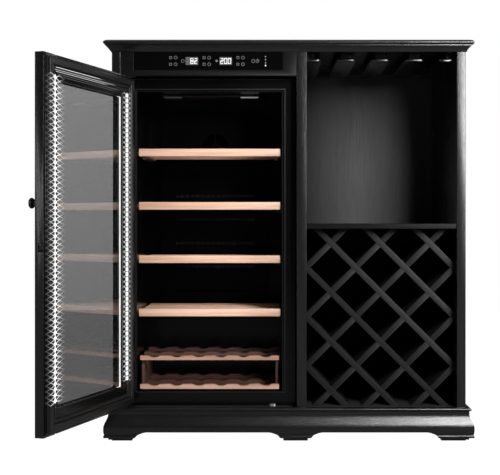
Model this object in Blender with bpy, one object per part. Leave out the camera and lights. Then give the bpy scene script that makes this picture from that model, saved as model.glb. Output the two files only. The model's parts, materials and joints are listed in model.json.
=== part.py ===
"""Furniture wine cooler: a black oak cabinet with a built-in compressor cooler behind a framed glass door
on the left, and an open bay with stemware rails and a diamond bottle lattice on the right.

Metres, +Z up. The origin is on the floor at the middle of the cabinet's footprint, -Y is the front.
Heights are measured from a base level just above the floor; the feet reach FOOT_DROP below it, and
everything is lifted by that much at the end so that the feet stand at Z = 0.
The door is built closed and then swung open about its pivots to DOOR_OPEN_DEG, its rest position.
"""

import math

import bpy
from mathutils import Matrix, Vector

# ---- driving dimensions -------------------------------------------------------------------------
GAP = 0.0003  # between pieces that touch
HEIGHT = 1.355
FOOT_DROP = 0.005
BODY_WIDTH = 1.204
BODY_DEPTH = 0.600
PANEL = 0.030  # outer side panels
DIVIDER = 0.034
DIVIDER_LEFT = 0.027  # the divider's left face, so the cooler's bay is 599 wide
DECK_TOP = 0.103
DECK = 0.018
TOP_SLAB = 0.018
SUB_TOP = 0.019
TOP_OVERHANG = 0.026
BACK_BOARD = 0.008
BACK_INSET = 0.004

DOOR_OPEN_DEG = 108.0
DOOR_GAP_HINGE = 0.004
DOOR_GAP_FREE = 0.0025
DOOR_BOTTOM = 0.110
DOOR_TOP = 1.230
DOOR_WOOD = 0.030  # thickness of the wooden frame
DOOR_LINER = 0.0037
STILE = 0.078
RABBET = 0.010  # how far the glass runs behind the frame's outer lip
LIP = 0.0128
PIVOT_IN = 0.010  # the pivot axis from the door's hinge edge
PIVOT_BACK = 0.008  # and from its outer face
PIN_RADIUS = 0.004

COOLER_WIDTH = 0.590
COOLER_DEPTH = 0.4935
COOLER_TOP = 1.228
COOLER_FRONT = 0.0465  # behind the cabinet's face
WALL = 0.044
LINER = 0.0025
CAVITY_FLOOR = 0.152
CAVITY_TOP = 1.185
CAVITY_BACK = 0.190
STEP_BACK = 0.050  # the cavity's back below the compressor step
STEP_TOP = 0.400

SHELF_COUNT = 4
SHELF_TOP = 0.9895  # the uppermost shelf's front strip
SHELF_PITCH = 0.1845
SHELF_STRIP = 0.0266
SHELF_FRONT = 0.060  # behind the cabinet's face
BOTTLE_PITCH = 0.0775
BOTTLES_ACROSS = 6

BAY_SHELF_TOP = 0.7305
LATTICE_HALF_PITCH = 0.085
LATTICE_TOP_ROW = 0.664  # height of the uppermost row of crossings
LATTICE_BOARD = 0.020
LATTICE_SETBACK = 0.050
LATTICE_DEPTH = 0.450
SLOT_PITCH = 0.119
SLOT_WIDTH = 0.048
RAIL_SETBACK = 0.055
RAIL_LENGTH = 0.445
RAIL_WEB = 0.034
RAIL_FLANGE = 0.010
RAIL_DROP = 0.0285

# ---- derived places -----------------------------------------------------------------------------
HALF = BODY_WIDTH / 2
FRONT = -BODY_DEPTH / 2
BACK = BODY_DEPTH / 2
BAY_LEFT = -HALF + PANEL
DIVIDER_RIGHT = DIVIDER_LEFT + DIVIDER
BAY_RIGHT = HALF - PANEL
BODY_TOP = HEIGHT - TOP_SLAB - SUB_TOP
BEAD_TOP = DECK_TOP + 0.004  # the plinth's bead stands a little proud of the deck
BACK_FACE = BACK - BACK_INSET - BACK_BOARD  # the back board's inner face

DOOR_LEFT = BAY_LEFT + DOOR_GAP_HINGE
DOOR_RIGHT = DIVIDER_LEFT - DOOR_GAP_FREE
DOOR_BACK = FRONT + DOOR_WOOD  # inner face of the wooden frame
LINER_FACE = DOOR_BACK + GAP + DOOR_LINER
PIVOT = Vector((DOOR_LEFT + PIVOT_IN, FRONT + PIVOT_BACK, 0.0))

COOLER_LEFT = (BAY_LEFT + DIVIDER_LEFT - COOLER_WIDTH) / 2
COOLER_RIGHT = COOLER_LEFT + COOLER_WIDTH
COOLER_Y = FRONT + COOLER_FRONT
COOLER_BACK = COOLER_Y + COOLER_DEPTH
CAVITY_LEFT = COOLER_LEFT + WALL
CAVITY_RIGHT = COOLER_RIGHT - WALL
COOLER_MID = (COOLER_LEFT + COOLER_RIGHT) / 2
SHELF_Y = FRONT + SHELF_FRONT

LOCK_Z = 0.662
LOCK_IN = 0.025  # the key cylinder's axis from the door's free edge
KNOB_Z = 0.791
KNOB_IN = 0.027
FAN_CENTRE = Vector((COOLER_MID, 0.166, 1.020))

FINISHES = {
    "oak_black": ((0.012, 0.012, 0.013), 0.45, 0.0),
    "board_black": ((0.016, 0.016, 0.017), 0.60, 0.0),
    "beech": ((0.70, 0.42, 0.27), 0.50, 0.0),
    "liner_black": ((0.006, 0.006, 0.007), 0.25, 0.0),
    "case_grey": ((0.10, 0.10, 0.11), 0.50, 0.3),
    "glass_clear": ((0.60, 0.63, 0.64), 0.05, 0.0),
    "fascia_gloss": ((0.004, 0.004, 0.004), 0.08, 0.0),
    "gasket_rubber": ((0.015, 0.015, 0.015), 0.70, 0.0),
    "led_strip": ((0.90, 0.92, 0.95), 0.40, 0.0),
    "lamp_lens": ((0.55, 0.56, 0.58), 0.40, 0.0),
    "steel": ((0.55, 0.55, 0.56), 0.30, 1.0),
    "knob_black": ((0.02, 0.02, 0.02), 0.30, 0.6),
    "compressor_black": ((0.02, 0.02, 0.02), 0.40, 0.3),
    "aluminium": ((0.70, 0.71, 0.72), 0.35, 1.0),
}


def clear_scene():
    for obj in list(bpy.data.objects):
        bpy.data.objects.remove(obj, do_unlink=True)


def finish_of(name):
    if name in bpy.data.materials:
        return bpy.data.materials[name]
    colour, roughness, metallic = FINISHES[name]
    material = bpy.data.materials.new(name)
    material.use_nodes = True
    shader = material.node_tree.nodes["Principled BSDF"]
    shader.inputs["Base Color"].default_value = (*colour, 1.0)
    shader.inputs["Roughness"].default_value = roughness
    shader.inputs["Metallic"].default_value = metallic
    material.diffuse_color = (*colour, 1.0)
    return material


def add_mesh(name, points, faces, finish=None):
    """A mesh object from points and faces. Without a finish it is a cutter, hidden from every render."""
    mesh = bpy.data.meshes.new(name)
    mesh.from_pydata([tuple(p) for p in points], [], faces)
    mesh.validate()
    obj = bpy.data.objects.new(name, mesh)
    bpy.context.scene.collection.objects.link(obj)
    if finish:
        mesh.materials.append(finish_of(finish))
    else:
        obj.hide_render = True
        obj.display_type = "WIRE"
    return obj


def prism(name, outline, start, end, axis, finish=None):
    """An outline extruded along an axis. Its points are (y, z) for X, (x, z) for Y and (x, y) for Z."""
    place = {
        "X": lambda a, b, c: (c, a, b),
        "Y": lambda a, b, c: (a, c, b),
        "Z": lambda a, b, c: (a, b, c),
    }[axis]
    area = sum(
        a[0] * b[1] - b[0] * a[1]
        for a, b in zip(outline, outline[1:] + outline[:1])
    )
    if (area < 0) != (axis == "Y"):
        outline = outline[::-1]
    n = len(outline)
    points = [place(a, b, start) for a, b in outline] + [place(a, b, end) for a, b in outline]
    faces = [tuple(reversed(range(n))), tuple(range(n, 2 * n))]
    faces += [(i, (i + 1) % n, n + (i + 1) % n, n + i) for i in range(n)]
    return add_mesh(name, points, faces, finish)


def block(name, low, high, finish=None):
    """A box between two opposite corners."""
    (x0, y0, z0), (x1, y1, z1) = low, high
    return prism(name, [(x0, y0), (x1, y0), (x1, y1), (x0, y1)], z0, z1, "Z", finish)


def arc(centre, radius, start_deg, end_deg, steps):
    """Points on a circle, both ends included."""
    turn = [math.radians(start_deg + (end_deg - start_deg) * i / steps) for i in range(steps + 1)]
    return [(centre[0] + radius * math.cos(t), centre[1] + radius * math.sin(t)) for t in turn]


def disc(centre, radius, sides):
    return arc(centre, radius, 0, 360 * (sides - 1) / sides, sides - 1)


def turned(name, profile, centre, axis, sides, finish=None):
    """A solid of revolution. The profile's (radius, height) points run from one end to the other."""
    spin = {"Y": Matrix.Rotation(math.radians(90), 4, "X"), "Z": Matrix.Identity(4)}[axis]
    points, rings = [], []
    for radius, height in profile:
        ring = []
        for i in range(sides if radius > 0 else 1):
            t = 2 * math.pi * i / sides
            ring.append(len(points))
            points.append(spin @ Vector((radius * math.cos(t), radius * math.sin(t), height)) + centre)
        rings.append(ring)
    faces = []
    for low, high in zip(rings, rings[1:]):
        for i in range(sides):
            j = (i + 1) % sides
            corners = [low[i % len(low)], low[j % len(low)], high[j % len(high)], high[i % len(high)]]
            faces.append(tuple(dict.fromkeys(corners)))
    if len(rings[0]) > 1:
        faces.append(tuple(reversed(rings[0])))
    if len(rings[-1]) > 1:
        faces.append(tuple(rings[-1]))
    obj = add_mesh(name, points, faces, finish)
    obj.data.shade_smooth()
    obj.data.set_sharp_from_angle(angle=math.radians(35))
    return obj


def boolean(obj, other, operation):
    modifier = obj.modifiers.new(f"{operation.lower()}_{other.name}", "BOOLEAN")
    modifier.operation = operation
    modifier.object = other
    modifier.solver = "EXACT"
    return obj


def cut(obj, *cutters):
    for cutter in cutters:
        boolean(obj, cutter, "DIFFERENCE")
    return obj


def join(obj, *others):
    """Fuses helper shapes, which overlap obj, into one body with it."""
    for other in others:
        boolean(obj, other, "UNION")
    return obj


def ease_edges(obj, width):
    """A narrow chamfer round every sharp edge."""
    modifier = obj.modifiers.new("eased_edges", "BEVEL")
    modifier.width = width
    modifier.segments = 1
    modifier.limit_method = "ANGLE"
    modifier.angle_limit = math.radians(40)
    return obj


# ---- cabinet ------------------------------------------------------------------------------------
def make_panels():
    """Side panels, divider, deck, back board and the bay's shelf."""
    low, high = DECK_TOP + GAP, BODY_TOP - GAP
    for side, x0, x1 in (("left", -HALF, BAY_LEFT), ("right", BAY_RIGHT, HALF)):
        panel = block(f"side_panel_{side}", (x0, FRONT, low), (x1, BACK, high), "oak_black")
        ease_edges(panel, 0.0015)

    divider = block(
        "centre_divider",
        (DIVIDER_LEFT, FRONT, low),
        (DIVIDER_RIGHT, BACK_FACE - GAP, high),
        "oak_black",
    )
    ease_edges(divider, 0.0015)
    strike = block(
        "strike_pocket",
        (DIVIDER_LEFT - 0.01, FRONT + 0.015, LOCK_Z - 0.008),
        (DIVIDER_LEFT + 0.010, FRONT + 0.029, LOCK_Z + 0.008),
    )
    cut(divider, strike)

    block("deck_panel", (-HALF, FRONT, DECK_TOP - DECK), (HALF, BACK, DECK_TOP), "board_black")

    shelf = block(
        "bay_shelf",
        (DIVIDER_RIGHT + GAP, FRONT + 0.002, BAY_SHELF_TOP - DECK),
        (BAY_RIGHT - GAP, BACK_FACE - GAP, BAY_SHELF_TOP),
        "oak_black",
    )
    ease_edges(shelf, 0.0012)


def make_back_board():
    """One board behind both bays, slotted where the cooler draws and sheds its air."""
    board = block(
        "back_panel",
        (BAY_LEFT + GAP, BACK_FACE, DECK_TOP + GAP),
        (BAY_RIGHT - GAP, BACK_FACE + BACK_BOARD, BODY_TOP - GAP),
        "board_black",
    )
    slot_half, slot_height, slot_pitch = 0.20, 0.012, 0.030
    groups = (("low", 0.150, 6), ("high", 1.140, 5))
    for group, start, count in groups:
        for i in range(count):
            z = start + i * slot_pitch
            slot = block(
                f"vent_{group}_{i + 1}",
                (COOLER_MID - slot_half, BACK_FACE - 0.01, z),
                (COOLER_MID + slot_half, BACK_FACE + BACK_BOARD + 0.01, z + slot_height),
            )
            cut(board, slot)
    return board


def make_header():
    """The rail over the cooler's bay, notched for the control panel, and the control panel itself."""
    notch_left, notch_right, notch_low = -0.527, -0.0205, 1.2535
    rail_back = FRONT + 0.018
    outline = [
        (BAY_LEFT + GAP, 1.233),
        (DIVIDER_LEFT - GAP, 1.233),
        (DIVIDER_LEFT - GAP, BODY_TOP - GAP),
        (notch_right, BODY_TOP - GAP),
        (notch_right, notch_low),
        (notch_left, notch_low),
        (notch_left, BODY_TOP - GAP),
        (BAY_LEFT + GAP, BODY_TOP - GAP),
    ]
    prism("header_rail", outline, FRONT, rail_back, "Y", "oak_black")

    panel = block(
        "control_panel",
        (notch_left + GAP, FRONT + 0.0012, notch_low + GAP),
        (notch_right - GAP, rail_back, BODY_TOP - 2 * GAP),
        "fascia_gloss",
    )
    housing = block(
        "control_housing",
        (notch_left + 0.02, rail_back - 0.004, notch_low + 0.006),
        (notch_right - 0.02, rail_back + 0.024, BODY_TOP - 0.006),
    )
    join(panel, housing)


def top_edge_profile():
    """(projection, height) of the top's thumbnail edge, from the flat top round the nose to the underside."""
    nose, flat, under = TOP_OVERHANG, 0.001, HEIGHT - TOP_SLAB
    drop, inward = 0.011, 0.0065
    curve = [
        (flat + (nose - flat) * math.sin(t), HEIGHT - drop + drop * math.cos(t))
        for t in (math.radians(15 * i) for i in range(7))
    ]
    curve += [
        (nose - inward * (1 - math.cos(t)), HEIGHT - drop - (TOP_SLAB - drop) * math.sin(t))
        for t in (math.radians(30 * i) for i in range(1, 4))
    ]
    return curve


def moulded_ring(name, profile, finish, back=BACK, half=HALF, front=FRONT):
    """A moulding with mitred corners round the left, front and right of the body.

    The profile is a closed loop of (projection from the body's face, height).
    """
    points, n = [], len(profile)
    for out, z in profile:
        points += [
            (-half - out, back, z),
            (-half - out, front - out, z),
            (half + out, front - out, z),
            (half + out, back, z),
        ]
    faces = []
    for i in range(n):
        j = (i + 1) % n
        faces += [(4 * i + k, 4 * j + k, 4 * j + k + 1, 4 * i + k + 1) for k in range(3)]
    faces.append(tuple(4 * i for i in reversed(range(n))))
    faces.append(tuple(4 * i + 3 for i in range(n)))
    obj = add_mesh(name, points, faces, finish)
    return face_outwards(obj)


def face_outwards(obj):
    """Turns the mesh's faces outwards if they enclose a negative volume."""
    mesh = obj.data
    volume = 0.0
    for polygon in mesh.polygons:
        corners = [mesh.vertices[i].co for i in polygon.vertices]
        for b, c in zip(corners[1:], corners[2:]):
            volume += corners[0].dot(b.cross(c))
    if volume < 0:
        mesh.flip_normals()
    return obj


def make_top():
    """The moulded top slab with its sub-top, and the crown moulding under its edge."""
    edge = top_edge_profile()
    rings = edge + [(-0.0005, HEIGHT - TOP_SLAB), (-0.0005, BODY_TOP)]
    points, faces = [], []
    for out, z in rings:
        points += [
            (-HALF - out, BACK, z),
            (-HALF - out, FRONT - out, z),
            (HALF + out, FRONT - out, z),
            (HALF + out, BACK, z),
        ]
    for i in range(len(rings) - 1):
        faces += [
            (4 * i + 4 + k, 4 * i + 4 + (k + 1) % 4, 4 * i + (k + 1) % 4, 4 * i + k) for k in range(4)
        ]
    last = 4 * (len(rings) - 1)
    faces += [(0, 1, 2, 3), (last + 3, last + 2, last + 1, last)]
    top = face_outwards(add_mesh("top_panel", points, faces, "oak_black"))
    top.data.shade_smooth()
    top.data.set_sharp_from_angle(angle=math.radians(35))

    high = HEIGHT - TOP_SLAB - GAP
    low = BODY_TOP - 0.003
    slope = [(0.0185, high - 0.0025), (0.0170, high - 0.0035), (0.0130, high - 0.0075)]
    slope += [(0.0085, high - 0.0125), (0.0055, high - 0.0165), (0.0038, low + 0.001)]
    section = [(GAP, high), (0.0185, high)] + slope + [(0.0028, low), (GAP, low)]
    moulded_ring("crown_moulding", section, "oak_black", back=BACK - GAP)


def plinth_profile():
    """(projection, height) down the plinth's face: bead, fillet, ogee, face, foot lip and pad."""
    bead = [(0.003, BEAD_TOP), (0.009, BEAD_TOP - 0.0008), (0.0145, BEAD_TOP - 0.0032)]
    bead += [(0.0172, BEAD_TOP - 0.0068), (0.0165, BEAD_TOP - 0.0095), (0.0135, BEAD_TOP - 0.0115)]
    fillet = [(0.0112, 0.0945), (0.0105, 0.0925), (0.0105, 0.0850)]
    ogee = [
        (0.0105 + 0.0150 * (0.5 - 0.5 * math.cos(math.pi * i / 6)), 0.0850 - 0.0470 * i / 6)
        for i in range(1, 7)
    ]
    face = [(0.0255, 0.0300), (0.0245, 0.0220), (0.0225, 0.0165)]
    lip = [(0.0225, 0.0150), (0.0250, 0.0135), (0.0255, 0.0105), (0.0250, 0.0065), (0.0225, 0.0050)]
    return bead + fillet + ogee + face + lip + [(0.0120, 0.0050), (0.0120, -FOOT_DROP)]


def cutout(name, left, right, axis, start, end):
    """A cutter for the space between two bracket feet: pads set back, a steep lip, then a long curve."""
    pad, lip, rise = 0.0105, 0.0050, 0.0099
    steep, run = 0.0085, 0.042
    up = [(left - pad, -0.02), (left - pad, lip), (left, lip), (left + 0.002, 0.0080)]
    up += [
        (left + steep + (run - steep) * i / 5, 0.0150 + rise * math.sin(math.radians(18 * i))) for i in range(6)
    ]
    outline = up + [(left + right - a, b) for a, b in reversed(up)]
    return prism(name, outline, start, end, axis)


def make_plinth():
    """Three moulded plinth boards mitred at the front corners, cut into bracket feet, and a centre bearer."""
    profile = plinth_profile()
    inner = 0.022
    reach = 0.06
    under = DECK_TOP - DECK - GAP
    section = [(-inner, -FOOT_DROP), (-inner, under), (GAP, under), (GAP, BEAD_TOP)]
    section = section + profile
    n = len(section)

    front_points = []
    for out, z in section:
        end = HALF + out - GAP
        front_points += [(-end, FRONT - out, z), (end, FRONT - out, z)]
    faces = [(2 * i, 2 * i + 1, 2 * ((i + 1) % n) + 1, 2 * ((i + 1) % n)) for i in range(n)]
    faces += [tuple(2 * i for i in range(n)), tuple(2 * i + 1 for i in reversed(range(n)))]
    front = face_outwards(add_mesh("plinth_front", front_points, faces, "oak_black"))
    pad_corner = 0.600
    foot_left, foot_right, centre_left, centre_right = -0.521, 0.507, -0.029, 0.075
    y0, y1 = FRONT - reach, FRONT + reach
    cut(
        front,
        cutout("front_cutout_left", foot_left, centre_left, "Y", y0, y1),
        cutout("front_cutout_right", centre_right, foot_right, "Y", y0, y1),
        block("pad_corner_left", (-HALF - reach, y0, -0.02), (-pad_corner, y1, 0.0050)),
        block("pad_corner_right", (pad_corner, y0, -0.02), (HALF + reach, y1, 0.0050)),
    )

    for side, sign in (("left", -1), ("right", 1)):
        points = []
        for out, z in section:
            x = sign * (HALF + out)
            points += [(x, FRONT - out + GAP, z), (x, BACK, z)]
        board = face_outwards(add_mesh(f"plinth_{side}", points, faces, "oak_black"))
        x0, x1 = sorted((sign * (HALF - reach), sign * (HALF + reach)))
        cut(
            board,
            cutout(f"side_cutout_{side}", -0.225, 0.225, "X", x0, x1),
            block(f"side_pad_front_{side}", (x0, FRONT - reach, -0.02), (x1, -0.297, 0.0050)),
            block(f"side_pad_back_{side}", (x0, 0.285, -0.02), (x1, BACK + reach, 0.0050)),
        )

    web, foot = 0.022, 0.040
    outline = [(-0.250, DECK_TOP - DECK - GAP), (-0.250, 0.040), (-foot - 0.02, 0.040)]
    outline += [(-foot, 0.010), (-foot, -FOOT_DROP), (foot, -FOOT_DROP), (foot, 0.010), (foot + 0.02, 0.040)]
    outline += [(0.290, 0.040), (0.290, DECK_TOP - DECK - GAP)]
    prism("centre_bearer", outline, -web, web, "X", "board_black")


# ---- open bay -----------------------------------------------------------------------------------
def make_glass_rails():
    """T-shaped stemware rails under the top, with a half rail against each side of the bay."""
    front = FRONT + RAIL_SETBACK
    back = front + RAIL_LENGTH
    high = BODY_TOP - GAP
    low = BODY_TOP - RAIL_DROP
    middle = (DIVIDER_RIGHT + BAY_RIGHT) / 2
    slots = [middle + SLOT_PITCH * (i - 1.5) for i in range(4)]
    left_edges = [DIVIDER_RIGHT + GAP] + [x + SLOT_WIDTH / 2 for x in slots]
    right_edges = [x - SLOT_WIDTH / 2 for x in slots] + [BAY_RIGHT - GAP]
    for i, (x0, x1) in enumerate(zip(left_edges, right_edges)):
        round_left, round_right = i > 0, i < 4
        radius = 0.014
        outline = [(x0, back), (x0, front + radius if round_left else front)]
        if round_left:
            outline += arc((x0 + radius, front + radius), radius, 180, 270, 4)[1:]
        if round_right:
            outline += arc((x1 - radius, front + radius), radius, 270, 360, 4)
        else:
            outline.append((x1, front))
        outline.append((x1, back))
        flange = prism(f"glass_rail_{i + 1}", outline, low, low + RAIL_FLANGE, "Z", "oak_black")
        if round_left and round_right:
            w0, w1 = (x0 + x1 - RAIL_WEB) / 2, (x0 + x1 + RAIL_WEB) / 2
        elif round_right:
            w0, w1 = x0, x0 + 0.027
        else:
            w0, w1 = x1 - 0.027, x1
        web = block(f"rail_web_{i + 1}", (w0, front + 0.004, low + 0.004), (w1, back, high))
        join(flange, web)


def clip(outline, keep):
    """Keeps the part of a convex outline where keep(point) is not negative. keep is linear."""
    found = []
    for a, b in zip(outline, outline[1:] + outline[:1]):
        ka, kb = keep(a), keep(b)
        if ka >= 0:
            found.append(a)
        if ka * kb < 0:
            t = ka / (ka - kb)
            found.append((a[0] + (b[0] - a[0]) * t, a[1] + (b[1] - a[1]) * t))
    return found


def diagonal(sum_or_difference, level, width, low, high):
    """The outline of a 45 degree strip inside the rectangle low to high.

    The strip follows z + x = level or z - x = level, for +1 and -1.
    """
    reach = width * math.sqrt(2) / 2
    outline = [low, (high[0], low[1]), high, (low[0], high[1])]
    outline = clip(outline, lambda p: p[1] + sum_or_difference * p[0] - (level - reach))
    return clip(outline, lambda p: (level + reach) - p[1] - sum_or_difference * p[0])


def make_lattice():
    """Twelve diagonal boards, half-lapped: one family is slotted from the back, the other from the front."""
    front = FRONT + LATTICE_SETBACK
    back = front + LATTICE_DEPTH
    middle = (front + back) / 2
    low = (DIVIDER_RIGHT + GAP, DECK_TOP + GAP)
    high = (BAY_RIGHT - GAP, BAY_SHELF_TOP - DECK - GAP)
    pitch = 2 * LATTICE_HALF_PITCH
    first_x = (DIVIDER_RIGHT + BAY_RIGHT) / 2 - pitch
    falling = [LATTICE_TOP_ROW + first_x + pitch * (i - 3) for i in range(6)]
    rising = [LATTICE_TOP_ROW - first_x + pitch * (i - 5) for i in range(6)]
    wide_low, wide_high = (low[0] - 0.05, low[1] - 0.05), (high[0] + 0.05, high[1] + 0.05)

    def slots(label, way, levels, start, end):
        width = LATTICE_BOARD + 2 * GAP
        return [
            prism(f"lap_{label}_{i + 1}", diagonal(way, level, width, wide_low, wide_high), start, end, "Y")
            for i, level in enumerate(levels)
        ]

    back_slots = slots("rising", -1, rising, middle - GAP / 2, back + 0.01)
    front_slots = slots("falling", 1, falling, front - 0.01, middle + GAP / 2)
    for i, level in enumerate(falling):
        outline = diagonal(1, level, LATTICE_BOARD, low, high)
        cut(prism(f"lattice_falling_{i + 1}", outline, front, back, "Y", "oak_black"), *back_slots)
    for i, level in enumerate(rising):
        outline = diagonal(-1, level, LATTICE_BOARD, low, high)
        cut(prism(f"lattice_rising_{i + 1}", outline, front, back, "Y", "oak_black"), *front_slots)


# ---- cooler -------------------------------------------------------------------------------------
def cavity_outline(grow):
    """The cavity seen from the side, (y, z), grown outwards, with the compressor step at its lower back."""
    front = COOLER_Y - 0.05
    return [
        (front, CAVITY_FLOOR - grow),
        (STEP_BACK + grow, CAVITY_FLOOR - grow),
        (STEP_BACK + grow, STEP_TOP - grow),
        (CAVITY_BACK + grow, STEP_TOP - grow),
        (CAVITY_BACK + grow, CAVITY_TOP + grow),
        (front, CAVITY_TOP + grow),
    ]


def make_case():
    """The insulated case, stepped at the lower back for the compressor, and the moulded inner liner."""
    base = DECK_TOP + GAP
    case = block(
        "fridge_case",
        (COOLER_LEFT, COOLER_Y + LINER + GAP, base),
        (COOLER_RIGHT, COOLER_BACK, COOLER_TOP),
        "case_grey",
    )
    grow = LINER + GAP
    room = prism("case_room", cavity_outline(grow), CAVITY_LEFT - grow, CAVITY_RIGHT + grow, "X")
    compartment = block(
        "compressor_room",
        (COOLER_LEFT + 0.040, STEP_BACK + WALL, base - 0.01),
        (COOLER_RIGHT - 0.040, COOLER_BACK + 0.01, STEP_TOP - WALL),
    )
    cut(case, room, compartment)

    outer = [p for p in cavity_outline(LINER)]
    outer[0] = (COOLER_Y, outer[0][1])
    outer[-1] = (COOLER_Y, outer[-1][1])
    liner = prism("fridge_liner", outer, CAVITY_LEFT - LINER, CAVITY_RIGHT + LINER, "X", "liner_black")
    flange = block(
        "liner_flange",
        (COOLER_LEFT + 0.001, COOLER_Y, base + 0.001),
        (COOLER_RIGHT - 0.001, COOLER_Y + LINER, COOLER_TOP - 0.001),
    )
    hollow = prism("liner_hollow", cavity_outline(0), CAVITY_LEFT, CAVITY_RIGHT, "X")
    join(liner, flange)
    cut(liner, hollow)
    ledge, drop = 0.016, 0.012
    for level in range(SHELF_COUNT):
        top = SHELF_TOP - level * SHELF_PITCH - SHELF_STRIP + 0.004 - GAP
        for side, x0, x1 in (
            ("left", CAVITY_LEFT - 0.001, CAVITY_LEFT + ledge),
            ("right", CAVITY_RIGHT - ledge, CAVITY_RIGHT + 0.001),
        ):
            y0, y1 = SHELF_Y + 0.022, 0.128
            outline = [(y0 + 0.006, top - drop), (y1, top - drop), (y1, top), (y0, top)]
            join(liner, prism(f"ledge_{side}_{level + 1}", outline, x0, x1, "X"))


def make_duct():
    """The air duct cover on the cavity's back wall, with a fan opening, a motor boss and outlet slots."""
    half, low, high, depth = 0.205, STEP_TOP + 0.020, CAVITY_TOP - 0.040, 0.052
    y0, y1 = CAVITY_BACK - depth, CAVITY_BACK - GAP
    cover = block("duct_panel", (COOLER_MID - half, y0, low), (COOLER_MID + half, y1, high), "liner_black")
    wall = 0.003
    inside = block(
        "duct_inside",
        (COOLER_MID - half + wall, y0 + wall, low + wall),
        (COOLER_MID + half - wall, y1 + 0.01, high - wall),
    )
    cut(cover, inside)
    centre = (FAN_CENTRE.x, FAN_CENTRE.z)
    cut(cover, prism("fan_opening", disc(centre, 0.052, 24), y0 - 0.01, y0 + wall + 0.004, "Y"))
    for i in range(5):
        z = low + 0.050 + i * 0.090
        cut(
            cover,
            block(
                f"air_slot_{i + 1}",
                (COOLER_MID - 0.150, y0 - 0.01, z),
                (COOLER_MID + 0.150, y0 + wall + 0.004, z + 0.010),
            ),
        )
    hub = Vector((centre[0], y0, centre[1]))
    boss = turned("motor_boss", [(0.017, -0.013), (0.017, 0.0)], hub, "Y", 16)
    spindle = turned("spindle", [(0.0030, -0.024), (0.0030, -0.010)], hub, "Y", 16)
    bar_h = block(
        "spider_across",
        (centre[0] - 0.056, y0, centre[1] - 0.003),
        (centre[0] + 0.056, y0 + wall, centre[1] + 0.003),
    )
    bar_v = block(
        "spider_upright",
        (centre[0] - 0.003, y0, centre[1] - 0.056),
        (centre[0] + 0.003, y0 + wall, centre[1] + 0.056),
    )
    join(cover, bar_h, bar_v, boss, spindle)


def make_fan():
    """A seven-bladed rotor on the duct's spindle."""
    y0 = CAVITY_BACK - 0.052
    centre = Vector((FAN_CENTRE.x, y0, FAN_CENTRE.z))
    rotor = turned("fan_rotor", [(0.015, -0.034), (0.015, -0.0145)], centre, "Y", 20, "liner_black")
    blades = 7
    for i in range(blades):
        turn = 2 * math.pi * i / blades
        outline = [(0.012, -0.0012), (0.044, -0.0012), (0.044, 0.0012), (0.012, 0.0012)]
        blade = prism(f"fan_blade_{i + 1}", outline, -0.013, 0.013, "Z")
        pitch = Matrix.Rotation(math.radians(38), 4, "X")
        spin = Matrix.Rotation(-turn, 4, "Y")
        upright = Matrix.Translation(centre + Vector((0, 0.0245, 0)))
        blade.data.transform(upright @ spin @ pitch)
        join(rotor, blade)
    bore = turned("rotor_bore", [(0.0031, -0.040), (0.0031, -0.005)], centre, "Y", 16)
    cut(rotor, bore)


def comb_outline(low, high, thick, teeth, tooth, tall):
    """A comb: a bar with upright teeth, as fins on a plate."""
    outline = [(low, 0.0), (high, 0.0), (high, thick)]
    pitch = (high - low - tooth) / (teeth - 1)
    for i in reversed(range(teeth)):
        x = low + i * pitch
        outline += [(x + tooth, thick), (x + tooth, tall), (x, tall), (x, thick)]
    return list(dict.fromkeys(outline))


def make_refrigeration():
    """Evaporator behind the duct, compressor on its plate and condenser coil behind the case."""
    fins = comb_outline(COOLER_MID - 0.150, COOLER_MID + 0.150, 0.006, 16, 0.002, 0.030)
    y_back = CAVITY_BACK - 0.004
    outline = [(x, y_back - d) for x, d in fins]
    prism("evaporator", outline, 0.520, 0.860, "Z", "aluminium")

    plate_top = DECK_TOP + GAP + 0.008
    centre = Vector((COOLER_MID + 0.09, (STEP_BACK + WALL + COOLER_BACK) / 2 + 0.006, plate_top))
    can = [(0.045, 0.006), (0.062, 0.014), (0.066, 0.030), (0.066, 0.095), (0.071, 0.099), (0.071, 0.106)]
    can += [(0.066, 0.110), (0.062, 0.140), (0.048, 0.160), (0.024, 0.170), (0.0, 0.172)]
    shell = turned("compressor", [(0.045, -0.004)] + can, centre, "Z", 24, "compressor_black")
    plate = block(
        "compressor_plate",
        (COOLER_MID - 0.230, centre.y - 0.062, DECK_TOP + GAP),
        (COOLER_MID + 0.230, centre.y + 0.062, plate_top),
    )
    join(shell, plate)

    runs, low, high, bar = 12, 0.420, 1.100, 0.005
    left, right = COOLER_MID - 0.230, COOLER_MID + 0.230
    pitch = (high - low) / (runs - 1)
    outer, inner = [], []
    for i in range(runs):
        z = low + i * pitch
        ends = (left, right) if i % 2 == 0 else (right, left)
        outer += [(ends[0], z), (ends[1], z)]
    path = [Vector(p) for p in outer]
    for side, found in ((1, []), (-1, [])):
        for i, p in enumerate(path):
            before = (p - path[i - 1]).normalized() if i else (path[1] - p).normalized()
            after = (path[i + 1] - p).normalized() if i + 1 < len(path) else before
            bend = Vector((-(before.y + after.y), before.x + after.x)).normalized()
            square = max(0.5, bend.dot(Vector((-before.y, before.x))))
            found.append(tuple(p + side * bend * (bar / 2) / square))
        inner.append(found)
    outline = inner[0] + inner[1][::-1]
    prism("condenser", outline, COOLER_BACK + GAP, COOLER_BACK + GAP + 0.006, "Y", "compressor_black")


def make_lamp():
    """A lamp bar in the cavity's ceiling with two raised lenses."""
    z1 = CAVITY_TOP - GAP
    low, high = (COOLER_MID - 0.175, -0.158, z1 - 0.006), (COOLER_MID + 0.175, -0.068, z1)
    lamp = block("ceiling_lamp", low, high, "lamp_lens")
    for side, sign in (("left", -1), ("right", 1)):
        x = COOLER_MID + sign * 0.1355
        join(lamp, block(f"lens_{side}", (x - 0.031, -0.151, z1 - 0.010), (x + 0.031, -0.075, z1 - 0.003)))


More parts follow.
